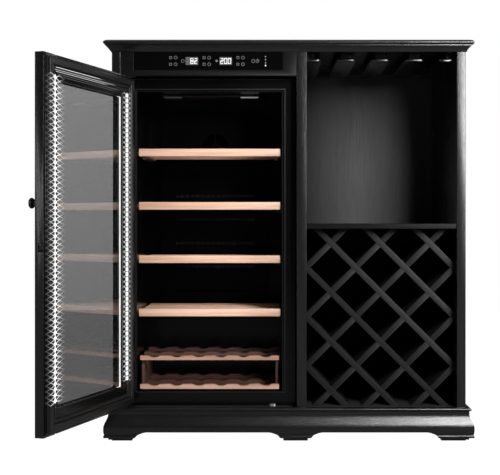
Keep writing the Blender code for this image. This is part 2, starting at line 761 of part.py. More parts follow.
def make_shelves():
    """Four slatted beech shelves that slide out on the liner's ledges."""
    x0, x1 = CAVITY_LEFT + 0.006, CAVITY_RIGHT - 0.006
    depth = 0.360
    for level in range(SHELF_COUNT):
        top = SHELF_TOP - level * SHELF_PITCH
        name = f"shelf_{level + 1}"
        shelf = block(name, (x0, SHELF_Y, top - SHELF_STRIP), (x1, SHELF_Y + 0.020, top), "beech")
        ease_edges(shelf, 0.0015)
        for side, a, b in (("left", x0 + 0.001, x0 + 0.021), ("right", x1 - 0.021, x1 - 0.001)):
            bearer = block(
                f"{name}_bearer_{side}",
                (a, SHELF_Y + 0.016, top - SHELF_STRIP + 0.004),
                (b, SHELF_Y + depth, top - 0.014),
            )
            join(shelf, bearer)
        for i in range(5):
            y = SHELF_Y + 0.050 + i * 0.068
            low, high = (x0 + 0.003, y, top - 0.018), (x1 - 0.003, y + 0.034, top - 0.007)
            join(shelf, block(f"{name}_slat_{i + 1}", low, high))


def cradle_outline(x0, x1, low, high, dip):
    """A board's front outline with a shallow round cradle for each bottle in its upper edge."""
    outline = [(x1, high), (x1, low), (x0, low), (x0, high)]
    radius = 0.040
    half = math.sqrt(radius**2 - (radius - dip) ** 2)
    spread = math.degrees(math.asin(half / radius))
    middle = (x0 + x1) / 2
    for i in range(BOTTLES_ACROSS):
        x = middle + (i - (BOTTLES_ACROSS - 1) / 2) * BOTTLE_PITCH
        outline += arc((x, high + radius - dip), radius, 270 - spread, 270 + spread, 6)
    return outline


def make_crate():
    """The two-tier beech crate on the cavity's floor, its boards cradled for bottles."""
    x0, x1 = COOLER_MID - 0.240, COOLER_MID + 0.240
    y0, y1 = SHELF_Y, STEP_BACK - 0.010
    crate = prism(
        "bottle_crate", cradle_outline(x0, x1, CAVITY_FLOOR + GAP, 0.174, 0.006), y0, y1, "Y", "beech"
    )
    upper = prism("crate_upper", cradle_outline(x0, x1, 0.2587, 0.2730, 0.006), y0, y1, "Y")
    for side, a, b in (("left", x0 + 0.001, x0 + 0.013), ("right", x1 - 0.013, x1 - 0.001)):
        join(crate, block(f"crate_side_{side}", (a, y0 + 0.004, 0.160), (b, y1 - 0.004, 0.265)))
    join(crate, upper)


# ---- door ---------------------------------------------------------------------------------------
def make_hinges():
    """Pivot brackets on the deck and under the header rail, each with its pin."""
    x0, x1 = BAY_LEFT + 0.001, BAY_LEFT + 0.048
    y0, y1 = FRONT + 0.0015, FRONT + 0.036
    low = DECK_TOP + GAP
    lower = block("hinge_bottom", (x0, y0, low), (x1, y1, low + 0.003), "steel")
    pin = turned(
        "pin_bottom",
        [(0.0065, low + 0.001), (0.0065, DOOR_BOTTOM - GAP), (PIN_RADIUS, DOOR_BOTTOM), (PIN_RADIUS, 0.1225)],
        PIVOT,
        "Z",
        20,
    )
    join(lower, pin)
    high = 1.233 - GAP
    upper = block("hinge_top", (x0, y0, high - 0.002), (x1, y1, high), "steel")
    pin = turned("pin_top", [(PIN_RADIUS, 1.2175), (PIN_RADIUS, high - 0.001)], PIVOT, "Z", 20)
    join(upper, pin)


def stile_outline(edge, sign):
    """A stile's plan section from its outer edge, with a bevelled lip and a rabbet for the glass."""
    outline = [
        (0.0, FRONT + 0.003),
        (0.003, FRONT),
        (STILE - 0.012, FRONT),
        (STILE, FRONT + 0.005),
        (STILE, FRONT + LIP),
        (STILE - RABBET, FRONT + LIP),
        (STILE - RABBET, DOOR_BACK),
        (0.0, DOOR_BACK),
    ]
    return [(edge + sign * a, y) for a, y in outline]


def make_door_frame(parts):
    """Two stiles the full height of the door and two rails between them."""
    hinge_stile = prism(
        "door_stile_hinge", stile_outline(DOOR_LEFT, 1), DOOR_BOTTOM, DOOR_TOP, "Z", "oak_black"
    )
    for end, z0, z1 in (("bottom", DOOR_BOTTOM - 0.01, 0.1235), ("top", 1.2165, DOOR_TOP + 0.01)):
        socket = prism(f"pin_socket_{end}", disc((PIVOT.x, PIVOT.y), PIN_RADIUS + 0.0001, 20), z0, z1, "Z")
        cut(hinge_stile, socket)
        parts.append(socket)

    free_stile = prism(
        "door_stile_free", stile_outline(DOOR_RIGHT, -1), DOOR_BOTTOM, DOOR_TOP, "Z", "oak_black"
    )
    lock_x = DOOR_RIGHT - LOCK_IN
    mortise = block(
        "bolt_mortise",
        (DOOR_RIGHT - 0.038, FRONT + 0.0165, LOCK_Z - 0.0063),
        (DOOR_RIGHT + 0.01, FRONT + 0.0279, LOCK_Z + 0.0063),
    )
    bore = prism("lock_bore", disc((lock_x, LOCK_Z), 0.0107, 24), FRONT - 0.01, FRONT + 0.020, "Y")
    screw_hole = prism(
        "knob_hole", disc((DOOR_RIGHT - KNOB_IN, KNOB_Z), 0.0042, 12), FRONT - 0.01, FRONT + 0.020, "Y"
    )
    cut(free_stile, mortise, bore, screw_hole)
    parts += [hinge_stile, free_stile, mortise, bore, screw_hole]

    x0, x1 = DOOR_LEFT + STILE + GAP, DOOR_RIGHT - STILE - GAP
    for end, edge, sign in (("top", DOOR_TOP, -1), ("bottom", DOOR_BOTTOM, 1)):
        outline = [
            (FRONT + 0.003, edge),
            (FRONT, edge + sign * 0.003),
            (FRONT, edge + sign * (STILE - 0.012)),
            (FRONT + 0.005, edge + sign * STILE),
            (FRONT + LIP, edge + sign * STILE),
            (FRONT + LIP, edge + sign * (STILE - RABBET)),
            (DOOR_BACK, edge + sign * (STILE - RABBET)),
            (DOOR_BACK, edge),
        ]
        parts.append(prism(f"door_rail_{end}", outline, x0, x1, "X", "oak_black"))


def frame_plate(name, inset, width, y0, y1, finish):
    """A rectangular frame parallel to the door, inset from the door's edges."""
    x0, x1 = DOOR_LEFT + inset, DOOR_RIGHT - inset
    z0, z1 = DOOR_BOTTOM + inset, DOOR_TOP - inset
    plate = block(name, (x0, y0, z0), (x1, y1, z1), finish)
    window = block(
        f"{name}_window",
        (x0 + width, y0 - 0.01, z0 + width),
        (x1 - width, y1 + 0.01, z1 - width),
    )
    return cut(plate, window), window


def make_door_fittings(parts):
    """Double glazing, inner liner, gasket, light strips, knob and lock."""
    inset = STILE - RABBET + GAP
    y0, y1 = FRONT + LIP + GAP, DOOR_BACK - GAP
    pane = 0.004
    low = (DOOR_LEFT + inset, DOOR_BOTTOM + inset)
    high = (DOOR_RIGHT - inset, DOOR_TOP - inset)
    for name, a, b in (("glass_outer", y0, y0 + pane), ("glass_inner", y1 - pane, y1)):
        parts.append(block(name, (low[0], a, low[1]), (high[0], b, high[1]), "glass_clear"))
    spacer = frame_plate(
        "glass_spacer", inset + 0.001, 0.0067, y0 + pane + GAP, y1 - pane - GAP, "aluminium"
    )
    liner = frame_plate("door_liner", 0.006, STILE - 0.008, DOOR_BACK + GAP, LINER_FACE, "liner_black")
    gasket = frame_plate(
        "door_gasket", 0.011, 0.036, LINER_FACE + GAP, COOLER_Y - 0.0004, "gasket_rubber"
    )
    parts += [*spacer, *liner, *gasket]

    strip_in, strip, strip_low, strip_high = 0.055, 0.010, 0.203, 1.170
    for side, x in (("hinge", DOOR_LEFT + strip_in), ("free", DOOR_RIGHT - strip_in)):
        parts.append(
            block(
                f"led_strip_{side}",
                (x - strip / 2, LINER_FACE + GAP, strip_low),
                (x + strip / 2, LINER_FACE + GAP + 0.003, strip_high),
                "led_strip",
            )
        )

    profile = [(0.004, -0.018), (0.004, -0.001), (0.0040, 0.0003), (0.0105, 0.0003), (0.0105, 0.003)]
    profile += [(0.0065, 0.007), (0.0060, 0.013), (0.0100, 0.017), (0.0150, 0.020), (0.0163, 0.0235)]
    profile += [(0.0150, 0.0270), (0.0095, 0.0292), (0.0, 0.0300)]
    knob_at = Vector((DOOR_RIGHT - KNOB_IN, FRONT, KNOB_Z))
    parts.append(turned("door_knob", profile, knob_at, "Y", 24, "knob_black"))

    lock_at = Vector((DOOR_RIGHT - LOCK_IN, FRONT, LOCK_Z))
    cylinder = turned(
        "lock_cylinder",
        [(0.0105, -0.0160), (0.0105, 0.0004), (0.0130, 0.0004), (0.0130, 0.0022), (0.0115, 0.0030)],
        lock_at,
        "Y",
        24,
        "steel",
    )
    keyway = block(
        "keyway",
        (lock_at.x - 0.0011, FRONT - 0.006, LOCK_Z - 0.0045),
        (lock_at.x + 0.0011, FRONT + 0.003, LOCK_Z + 0.0045),
    )
    cut(cylinder, keyway)
    bolt = block(
        "lock_bolt",
        (DOOR_RIGHT - 0.032, FRONT + 0.0168, LOCK_Z - 0.006),
        (DOOR_RIGHT - 0.0003, FRONT + 0.0276, LOCK_Z + 0.006),
        "steel",
    )
    parts += [cylinder, keyway, bolt]


def make_door():
    """Builds the closed door, then hangs it on an empty at the pivot and swings it open."""
    parts = []
    make_door_frame(parts)
    make_door_fittings(parts)
    pivot = bpy.data.objects.new("door_pivot", None)
    bpy.context.scene.collection.objects.link(pivot)
    pivot.location = PIVOT
    bpy.context.view_layer.update()
    for part in parts:
        part.parent = pivot
        part.matrix_parent_inverse = Matrix.Translation(-PIVOT)
    pivot.rotation_euler.z = -math.radians(DOOR_OPEN_DEG)


def stand_on_floor():
    """Lifts everything by FOOT_DROP, on one empty, so that the feet stand at Z = 0."""
    base = bpy.data.objects.new("cabinet_base", None)
    loose = [obj for obj in bpy.context.scene.objects if obj.parent is None]
    bpy.context.scene.collection.objects.link(base)
    base.location = (0.0, 0.0, FOOT_DROP)
    for obj in loose:
        obj.parent = base


def main():
    clear_scene()
    make_panels()
    make_back_board()
    make_header()
    make_top()
    make_plinth()
    make_glass_rails()
    make_lattice()
    make_case()
    make_duct()
    make_fan()
    make_refrigeration()
    make_lamp()
    make_shelves()
    make_crate()
    make_hinges()
    make_door()
    stand_on_floor()


main()
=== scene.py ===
"""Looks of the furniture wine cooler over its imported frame: materials, fine parts, light and camera.

Metres, in the frame's own coordinates. Door parts are laid out closed and then swung open with the door.
"""

import json
import math

import bmesh
import bpy
from mathutils import Matrix, Vector


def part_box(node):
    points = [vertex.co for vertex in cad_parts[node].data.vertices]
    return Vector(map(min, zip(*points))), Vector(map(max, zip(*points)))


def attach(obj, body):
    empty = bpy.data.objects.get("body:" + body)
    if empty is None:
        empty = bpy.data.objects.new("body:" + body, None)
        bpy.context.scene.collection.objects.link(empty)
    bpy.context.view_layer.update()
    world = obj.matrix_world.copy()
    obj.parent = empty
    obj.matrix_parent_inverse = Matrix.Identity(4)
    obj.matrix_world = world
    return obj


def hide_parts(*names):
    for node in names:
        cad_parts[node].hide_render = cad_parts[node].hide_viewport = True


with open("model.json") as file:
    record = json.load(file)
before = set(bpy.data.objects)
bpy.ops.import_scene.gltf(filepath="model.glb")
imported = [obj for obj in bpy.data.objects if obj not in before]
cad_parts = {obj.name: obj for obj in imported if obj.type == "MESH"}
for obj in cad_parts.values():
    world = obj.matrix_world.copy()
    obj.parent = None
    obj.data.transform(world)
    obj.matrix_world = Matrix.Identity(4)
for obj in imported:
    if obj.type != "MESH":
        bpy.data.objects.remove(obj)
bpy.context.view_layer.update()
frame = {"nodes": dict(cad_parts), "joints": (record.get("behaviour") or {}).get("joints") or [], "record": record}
NODES = frame["nodes"]

# ---- places ----
DOOR_OPEN = math.radians(108)
PIVOT = Vector(next(j for j in frame["joints"] if j["name"] == "door_hinge")["pos_m"])
HALF = 0.602  # half the body's width
FRONT, BACK = -0.300, 0.300
LIFT = 0.005  # the glides stand this far under the level that heights here are measured from
HEIGHT, TOP_SLAB, BODY_TOP = 1.355, 0.018, 1.318
NOSE = 0.026  # how far the top's edge stands out from the body
DECK_TOP = 0.103
BEAD_TOP = DECK_TOP + 0.004
FOOT_HIGH = 0.005  # the pads under the bracket feet end here
FRONT_GAPS, SIDE_GAP = ((-0.521, -0.029), (0.075, 0.507)), (-0.225, 0.225)  # between the feet
GAP = 0.0003  # between parts that touch
DOOR_LEFT, DOOR_RIGHT = -0.568, 0.0245
DOOR_BOTTOM, DOOR_TOP = 0.110, 1.230
LINER_FACE = -0.2660  # the closed door's inner face
# Painted light: the glazing's spacer is given its glow in front of this depth.
SPACER_PAINTED_GLOW = -0.2790  # the glazing's spacer shines in front of this
COOLER_MID = -0.2725

# The two light strips: lamp pitch and count, and the painted light with crossed rays round them.
LED_IN, LED_LOW, LED_PITCH, LED_COUNT = 0.055, 0.211, 1 / 60, 58
STRIPS = (("hinge", DOOR_LEFT + LED_IN), ("free", DOOR_RIGHT - LED_IN))
STRIP_FACE = LINER_FACE + 0.0033
RAY_REACH = 0.062
RAY_LEAN = (-2.03, -1.75)  # sideways shift with depth, which joins the rays over a step

LAMPS = (  # name, place, aim, size, watts
    ("key_right", (1.31, -2.8, 2.06), (0.2, -0.3, 0.9), (0.86, 1.5), 133),
    ("low_right", (1.50, -1.75, 1.02), (0.3, -0.3, 1.22), (0.20, 0.40), 9),
    ("soft_left", (-2.98, -2.84, 1.02), (-0.74, -0.85, 0.88), (0.8, 0.5), 7),
    ("rim_left", (-3.2, -0.9, 1.2), (-0.3, -0.3, 0.9), (0.35, 2.2), 22),
    ("rim_right", (3.2, -0.9, 1.3), (0.3, -0.3, 0.9), (0.35, 2.2), 22),
    ("over_top", (0.0, -0.2, 3.4), (0.0, 0.0, 1.0), (2.4, 1.2), 16),
    ("behind", (2.6, 3.0, 1.9), (0.0, 0.3, 0.7), (1.6, 1.6), 26),
)


# ---- meshes ----
def box(node):
    """A CAD node's corners, with heights from the base level."""
    low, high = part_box(node)
    drop = Vector((0.0, 0.0, LIFT))
    return low - drop, high - drop


def as_mesh(name, bm):
    """Turns a bmesh into a mesh with its faces pointing outwards."""
    mesh = bpy.data.meshes.new(name)
    bmesh.ops.recalc_face_normals(bm, faces=bm.faces)
    bm.to_mesh(mesh)
    bm.free()
    return mesh


def linked(name, data):
    """A new object in the scene."""
    obj = bpy.data.objects.new(name, data)
    bpy.context.scene.collection.objects.link(obj)
    return obj


def applied(obj):
    """The object's mesh with its modifiers applied; the object itself goes."""
    bpy.context.view_layer.update()
    made = bpy.data.meshes.new_from_object(obj.evaluated_get(bpy.context.evaluated_depsgraph_get()))
    bpy.data.objects.remove(obj, do_unlink=True)
    return made


def piece(name, mesh_or_bm, material, body, sharp=35.0, lift=LIFT):
    """Links a mesh as a piece that rides on a body, smooth but for its sharp edges."""
    mesh = as_mesh(name, mesh_or_bm) if isinstance(mesh_or_bm, bmesh.types.BMesh) else mesh_or_bm
    mesh.name = name
    mesh.transform(Matrix.Translation((0.0, 0.0, lift)))
    if sharp is not None:
        mesh.shade_smooth()
        mesh.set_sharp_from_angle(angle=math.radians(sharp))
    obj = linked(name, mesh)
    mesh.materials.clear()
    mesh.materials.append(material)
    if body:
        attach(obj, body)
    return obj


def swung_piece(name, mesh_or_bm, material, body, sharp=35.0):
    """A piece laid out on the closed door, then taken to the door's open rest position."""
    made = piece(name, mesh_or_bm, material, None, sharp)
    swing = Matrix.Rotation(-DOOR_OPEN, 4, "Z")
    made.data.transform(Matrix.Translation(PIVOT) @ swing @ Matrix.Translation(-PIVOT))
    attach(made, body)
    return made


def skin(bm, loops, closed=False, around=True):
    """Joins each loop of vertices to the next, and the last to the first if closed."""
    n, m = len(loops), len(loops[0])
    for i in range(n if closed else n - 1):
        a, b = loops[i], loops[(i + 1) % n]
        for k in range(m if around else m - 1):
            bm.faces.new((a[k], a[(k + 1) % m], b[(k + 1) % m], b[k]))


def add_run(bm, rows):
    """Adds a moulding from a row of points along its length for each point of its closed section."""
    loops = [[bm.verts.new(p) for p in row] for row in rows]
    skin(bm, loops, closed=True, around=False)
    bm.faces.new([loop[0] for loop in loops])
    bm.faces.new([loop[-1] for loop in loops])


def add_box(bm, low, high, ease=0.0, segments=2):
    """Adds a box to a bmesh, with its edges rounded."""
    made = bmesh.ops.create_cube(bm, size=1.0)
    low, high = Vector(low), Vector(high)
    size, centre = high - low, (low + high) / 2
    for v in made["verts"]:
        v.co = Vector((v.co.x * size.x, v.co.y * size.y, v.co.z * size.z)) + centre
    if ease:
        edges = list(dict.fromkeys(e for v in made["verts"] for e in v.link_edges))
        bmesh.ops.bevel(bm, geom=edges, offset=ease, segments=segments, profile=0.5, affect="EDGES")


def add_prism(bm, outline, start, end, axis="Y"):
    """Adds an outline extruded along an axis: (y, z) points for X, (x, z) points for Y."""
    ends = []
    for c in (start, end):
        ends.append([bm.verts.new((c, a, b) if axis == "X" else (a, c, b)) for a, b in outline])
    bm.faces.new(ends[0])
    bm.faces.new(ends[1])
    skin(bm, ends)


def add_turned(bm, profile, centre, axis, sides=48):
    """Adds a solid of revolution from (radius, height) points along Y or Z."""
    centre = Vector(centre)
    spin = Matrix.Rotation(math.radians(90), 4, "X") if axis == "Y" else Matrix.Identity(4)
    rings = []
    for radius, height in profile:
        ring = []
        for i in range(sides if radius > 0 else 1):
            t = 2 * math.pi * i / sides
            at = Vector((radius * math.cos(t), radius * math.sin(t), height))
            ring.append(bm.verts.new(spin @ at + centre))
        rings.append(ring)
    for low, high in zip(rings, rings[1:]):
        for i in range(sides):
            j = (i + 1) % sides
            corners = [low[i % len(low)], low[j % len(low)], high[j % len(high)], high[i % len(high)]]
            bm.faces.new(list(dict.fromkeys(corners)))
    for ring in (rings[0], rings[-1]):
        if len(ring) > 1:
            bm.faces.new(ring)


def add_ring(bm, profile, x0, x1, z0, z1):
    """Adds a mitred rectangular ring. The profile is a closed loop of (inset from the outer edge, y)."""
    loops = []
    for u, y in profile:
        corners = [(x0 + u, y, z0 + u), (x1 - u, y, z0 + u), (x1 - u, y, z1 - u), (x0 + u, y, z1 - u)]
        loops.append([bm.verts.new(c) for c in corners])
    skin(bm, loops, closed=True)


def add_tube(bm, path, radius, sides=10):
    """Adds a closed round tube along a path of points."""
    path = [Vector(p) for p in path]
    normal = None
    rings = []
    for i, point in enumerate(path):
        ahead = path[min(i + 1, len(path) - 1)] - path[max(i - 1, 0)]
        ahead.normalize()
        if normal is None:
            normal = ahead.orthogonal().normalized()
        normal = (normal - ahead * normal.dot(ahead)).normalized()
        other = ahead.cross(normal)
        ring = []
        for k in range(sides):
            t = 2 * math.pi * k / sides
            ring.append(bm.verts.new(point + radius * (math.cos(t) * normal + math.sin(t) * other)))
        rings.append(ring)
    skin(bm, rings)
    bm.faces.new(rings[0])
    bm.faces.new(rings[-1])


def arc(centre, radius, start, end, steps):
    """Points on a circle between two angles in degrees, both included."""
    turn = [math.radians(start + (end - start) * i / steps) for i in range(steps + 1)]
    return [(centre[0] + radius * math.cos(t), centre[1] + radius * math.sin(t)) for t in turn]


def carved(name, bm, cutters):
    """The mesh of bm less each cutter."""
    obj = linked(name + "_blank", as_mesh(name, bm))
    helpers = []
    for i, cutter in enumerate(cutters):
        tool = as_mesh(f"{name}_cut_{i}", cutter)
        helpers.append(linked(tool.name, tool))
        modifier = obj.modifiers.new(tool.name, "BOOLEAN")
        modifier.operation = "DIFFERENCE"
        modifier.solver = "EXACT"
        modifier.object = helpers[-1]
    made = applied(obj)
    for helper in helpers:
        bpy.data.objects.remove(helper, do_unlink=True)
    return made


# ---- materials ----
class Graph:
    """A material's nodes, added one at a time."""

    def __init__(self, name):
        self.material = bpy.data.materials.new(name)
        self.material.use_nodes = True
        self.tree = self.material.node_tree
        self.shader = self.tree.nodes["Principled BSDF"]

    def add(self, kind, settings=None, **inputs):
        node = self.tree.nodes.new("ShaderNode" + kind)
        for key, value in (settings or {}).items():
            setattr(node, key, value)
        for key, value in inputs.items():
            self.feed(node, key, value)
        return node

    def feed(self, node, key, value):
        """Sets or links an input: i2 is the third one, any other key its name with _ for a space."""
        numbered = key[0] == "i" and key[1:].isdigit()
        socket = node.inputs[int(key[1:]) if numbered else key.replace("_", " ")]
        if isinstance(value, bpy.types.Node):
            value = value.outputs[0]
        if isinstance(value, bpy.types.NodeSocket):
            self.tree.links.new(value, socket)
        else:
            socket.default_value = value

    def math(self, operation, a, b=0.0, c=0.0):
        return self.add("Math", {"operation": operation}, i0=a, i1=b, i2=c).outputs[0]

    def noise(self, at, scale, detail, **more):
        return self.add("TexNoise", Vector=at, Scale=scale, Detail=detail, **more).outputs["Fac"]

    def fit(self, value, start=0.0, stop=1.0, low=0.0, high=1.0, **settings):
        """Maps start..stop onto low..high and holds the end values outside."""
        ends = {"From_Min": start, "From_Max": stop, "To_Min": low, "To_Max": high}
        return self.add("MapRange", settings, Value=value, **ends).outputs[0]

    def scaled(self, colour, factor):
        return self.add("VectorMath", {"operation": "SCALE"}, i0=colour, Scale=factor).outputs[0]

    def set(self, **inputs):
        for key, value in inputs.items():
            self.feed(self.shader, key, value)
        return self

    def light(self, strength, colour=(1.0, 1.0, 1.0)):
        return self.set(Emission_Color=(*colour, 1.0), Emission_Strength=strength)

    def ramp(self, factor, stops):
        node = self.add("ValToRGB", i0=factor)
        for element, (position, colour) in zip(node.color_ramp.elements, stops):
            element.position = position
            element.color = (*colour, 1.0)
        return node.outputs[0]

    def bump(self, height, strength, distance):
        return self.add("Bump", Height=height, Strength=strength, Distance=distance).outputs[0]

    def place(self, turn_z=0.0, turn_y=0.0, scale=(1.0, 1.0, 1.0)):
        """Object coordinates, first turned to line up with the part and then scaled."""
        coordinates = self.add("TexCoord").outputs["Object"]
        turned = self.add("Mapping", Vector=coordinates, Rotation=(0.0, turn_y, turn_z)).outputs[0]
        return self.add("Mapping", Vector=turned, Scale=scale).outputs[0]

    def axes(self):
        return self.add("SeparateXYZ", Vector=self.add("TexCoord").outputs["Object"]).outputs


def grain_scale(grain, along, across):
    return tuple(along if axis == grain else across for axis in "XYZ")


def black_oak(name, grain, turn_z=0.0, turn_y=0.0, dark=0.0030, light=0.0080,
              rough=(0.20, 0.29), coat=0.08, shine=0.45, painted_shade=None):
    """Open-grained oak under a satin black stain: long figure, fine pores that catch the light.

    The last argument is (x, x, level), a painted shade: the colour falls to that level from the second x to the
    first.
    """
    g = Graph(name)
    figure_at = g.place(turn_z, turn_y, grain_scale(grain, 2.2, 34.0))
    figure = g.noise(figure_at, 1.0, 6.0, Roughness=0.62, Distortion=0.35)
    pores_at = g.place(turn_z, turn_y, grain_scale(grain, 14.0, 620.0))
    streak = g.fit(g.noise(pores_at, 1.0, 3.0, Roughness=0.55), 0.40, 0.66)
    mixed = g.math("MULTIPLY_ADD", streak, 0.45, g.math("MULTIPLY", figure, 0.75))
    low, high = (dark, dark, dark * 1.04), (light, light, light * 1.03)
    colour = g.ramp(mixed, [(0.25, low), (0.85, high)])
    # Painted shade: the colour is scaled down along x, darker towards the first x.
    if painted_shade:
        colour = g.scaled(colour, g.fit(g.axes()[0], painted_shade[0], painted_shade[1], painted_shade[2]))
    height = g.math("ADD", g.math("MULTIPLY", streak, 0.7), figure)
    g.set(Base_Color=colour, Roughness=g.fit(mixed, 0.2, 0.9, rough[1], rough[0]))
    g.set(Normal=g.bump(height, 0.35, 0.0004), Specular_IOR_Level=shine)
    return g.set(Coat_Weight=coat, Coat_Roughness=0.15).material


def beech(name, dark=(0.60, 0.33, 0.215), light=(0.84, 0.545, 0.40), painted_shade=(1.0, 1.0)):
    """Pale beech with short flecks and a satin lacquer, with painted shade darkening it towards its left and right
    ends.
    """
    g = Graph(name)
    figure_at = g.place(scale=grain_scale("X", 3.0, 60.0))
    figure = g.noise(figure_at, 1.0, 5.0, Roughness=0.6, Distortion=0.2)
    flecks = g.fit(g.noise(g.place(scale=grain_scale("X", 160.0, 900.0)), 1.0, 2.0), 0.56, 0.70)
    tone = g.math("SUBTRACT", figure, g.math("MULTIPLY", flecks, 0.18))
    colour = g.ramp(tone, [(0.30, dark), (0.62, light)])
    across = g.axes()[0]
    # Painted shade: the colour is scaled down towards the left end and towards the right end.
    left = g.fit(across, -0.510, -0.370, painted_shade[0], 1.0)
    right = g.fit(across, -0.180, -0.040, 1.0, painted_shade[1])
    g.set(Base_Color=g.scaled(colour, g.math("MULTIPLY", left, right)))
    g.set(Roughness=g.fit(tone, low=0.52, high=0.38), Normal=g.bump(tone, 0.2, 0.0002))
    return g.set(Coat_Weight=0.2, Coat_Roughness=0.3).material


def moulded_graph(name, base, rough, grit=900.0, strength=0.12, coat=0.0, gloss=0.5):
    """Moulded plastic, rubber or enamel: a fine texture with slight unevenness in its gloss."""
    g = Graph(name)
    at = g.place()
    fine, broad = g.noise(at, grit, 2.0), g.noise(at, 9.0, 3.0)
    shade = g.math("MULTIPLY_ADD", broad, 0.7, g.math("MULTIPLY", fine, 0.3))
    low, high = tuple(c * 0.8 for c in base), tuple(c * 1.25 for c in base)
    g.set(Base_Color=g.ramp(shade, [(0.3, low), (0.7, high)]), Specular_IOR_Level=gloss)
    g.set(Roughness=g.fit(shade, 0.3, 0.7, rough * 0.88, rough * 1.12))
    g.set(Normal=g.bump(fine, strength, 0.0001))
    return g.set(Coat_Weight=coat, Coat_Roughness=0.08) if coat else g


def moulded(*which, **settings):
    return moulded_graph(*which, **settings).material


def metal(name, base, rough, brushed=None):
    """Bare metal, brushed along an axis or cast."""
    g = Graph(name)
    scale = grain_scale(brushed, 12.0, 1800.0) if brushed else (500.0, 500.0, 500.0)
    lines = g.noise(g.place(scale=scale), 1.0, 3.0)
    g.set(Base_Color=g.ramp(lines, [(0.3, tuple(c * 0.75 for c in base)), (0.7, base)]), Metallic=1.0)
    g.set(Roughness=g.fit(lines, low=rough * 1.3, high=rough * 0.7))
    return g.set(Normal=g.bump(lines, 0.15, 0.00008)).material


def uneven(g, strength, grit):
    """A strength that varies a little over the surface."""
    return g.fit(g.noise(g.place(), grit, 1.0), low=strength * 0.9, high=strength * 1.1)


def glow(name, colour, strength, base=0.8):
    """A lit part: a body with its own light, a little uneven."""
    g = Graph(name).set(Base_Color=(base, base, base, 1.0), Roughness=0.4)
    return g.light(uneven(g, strength, 700.0), colour).material


def closed_place(g):
    """Where a point of the open door lies once the door is closed: x, y and z."""
    coordinates = g.add("TexCoord").outputs["Object"]
    closed = g.add("VectorRotate", {"rotation_type": "Z_AXIS"}, Vector=coordinates,
                   Center=tuple(PIVOT), Angle=DOOR_OPEN)
    return g.add("SeparateXYZ", Vector=closed).outputs


def bell(g, value, width):
    """1 where the value is 0, falling smoothly to 0 a few widths away."""
    squared = g.math("POWER", g.math("DIVIDE", value, width), 2.0)
    return g.math("EXPONENT", g.math("MULTIPLY", squared, -1.0))


def between(g, value, low, high):
    return g.math("MULTIPLY", g.math("GREATER_THAN", value, low), g.math("LESS_THAN", value, high))


def painted_star_light(g, gain):
    """Painted light round each lamp of the door's two strips: an emission core with crossed rays on the surface.
    """
    x, y, z = closed_place(g)
    depth = g.math("SUBTRACT", y, STRIP_FACE)
    away = []
    for (_, at), lean in zip(STRIPS, RAY_LEAN):
        beside = g.math("MULTIPLY_ADD", depth, lean, g.math("SUBTRACT", x, at))
        away.append(g.math("ABSOLUTE", beside))
    u = g.math("MINIMUM", *away)
    boxed_in = g.math("LESS_THAN", *away)
    up = g.math("SUBTRACT", z, LED_LOW + LIFT - LED_PITCH / 2)
    inside = between(g, up, 0.0, LED_PITCH * LED_COUNT)
    cell = g.math("SUBTRACT", g.math("WRAP", up, LED_PITCH, 0.0), LED_PITCH / 2)
    slope = g.math("MULTIPLY_ADD", boxed_in, 0.06, 0.32)
    width = g.math("MAXIMUM", g.math("SUBTRACT", 0.0014, g.math("MULTIPLY", u, 0.020)), 0.0007)
    reach = g.math("MULTIPLY_ADD", boxed_in, -0.010, RAY_REACH)
    fade = g.math("MAXIMUM", g.math("SUBTRACT", 1.0, g.math("DIVIDE", u, reach)), 0.0)
    level = g.math("MULTIPLY", g.math("POWER", fade, 1.6), 1.7)
    total = g.math("MULTIPLY", bell(g, u, 0.0030), 1.3)
    for k in range(-2, 3):
        w = g.math("ABSOLUTE", g.math("SUBTRACT", cell, k * LED_PITCH))
        off_ray = g.math("DIVIDE", g.math("SUBTRACT", w, g.math("MULTIPLY", u, slope)), width)
        total = g.math("MULTIPLY_ADD", bell(g, off_ray, 1.0), level, total)
        near = g.math("MULTIPLY_ADD", u, 0.42, w)
        total = g.math("MULTIPLY_ADD", bell(g, near, 0.0034), 1.6, total)
    return g.math("MULTIPLY", g.math("MULTIPLY", total, inside), gain)


def painted_seal_highlight(g):
    """A painted highlight: the line of light at the foot of the seal beside the hinge side's light strip."""
    x, y, z = closed_place(g)
    line = bell(g, g.math("SUBTRACT", y, LINER_FACE + 0.0022), 0.0024)
    low = LED_LOW + LIFT
    inside = between(g, z, low, low + LED_PITCH * LED_COUNT)
    place = g.math("MULTIPLY", inside, g.math("LESS_THAN", x, DOOR_LEFT + 0.030))
    level = g.math("MULTIPLY", g.noise(g.place(), 90.0, 1.0), 0.9)
    return g.math("MULTIPLY", g.math("MULTIPLY", line, level), place)


def painted_band_reflections(g):
    """Painted reflections of the light strips: thin bright lines along the band over the glass."""
    x, _, z = closed_place(g)
    down = g.math("SUBTRACT", DOOR_TOP + LIFT, z)
    smooth = {"interpolation_type": "SMOOTHSTEP"}
    total = 0.0
    for at, level, left, right in (
        (0.0400, 1.2, -0.280, -0.030),
        (0.0455, 0.7, -0.390, -0.035),
        (0.0500, 0.9, -0.340, -0.045),
        (0.0570, 0.16, -0.430, -0.055),
        (0.0630, 0.12, -0.400, -0.060),
    ):
        start = g.fit(x, left - 0.05, left, **smooth)
        stop = g.fit(x, right, right + 0.008, 1.0, 0.0, **smooth)
        line = bell(g, g.math("SUBTRACT", down, at), 0.0007)
        streak = g.math("MULTIPLY", line, g.math("MULTIPLY", start, stop))
        total = g.math("MULTIPLY_ADD", streak, level, total)
    return total


def lit_black(name, base, rough, gain, strip_reflections=False, edge=False):
    """Black plastic or rubber beside the light strips, with their light painted on it as emission."""
    g = moulded_graph(name, (base, base, base), rough, 700.0)
    light = painted_star_light(g, gain)
    # Painted reflections of the strips along the band over the glass.
    if strip_reflections:
        light = g.math("ADD", light, painted_band_reflections(g))
    # Painted highlight line at the foot of the seal.
    if edge:
        light = g.math("ADD", light, painted_seal_highlight(g))
    return g.light(light).material


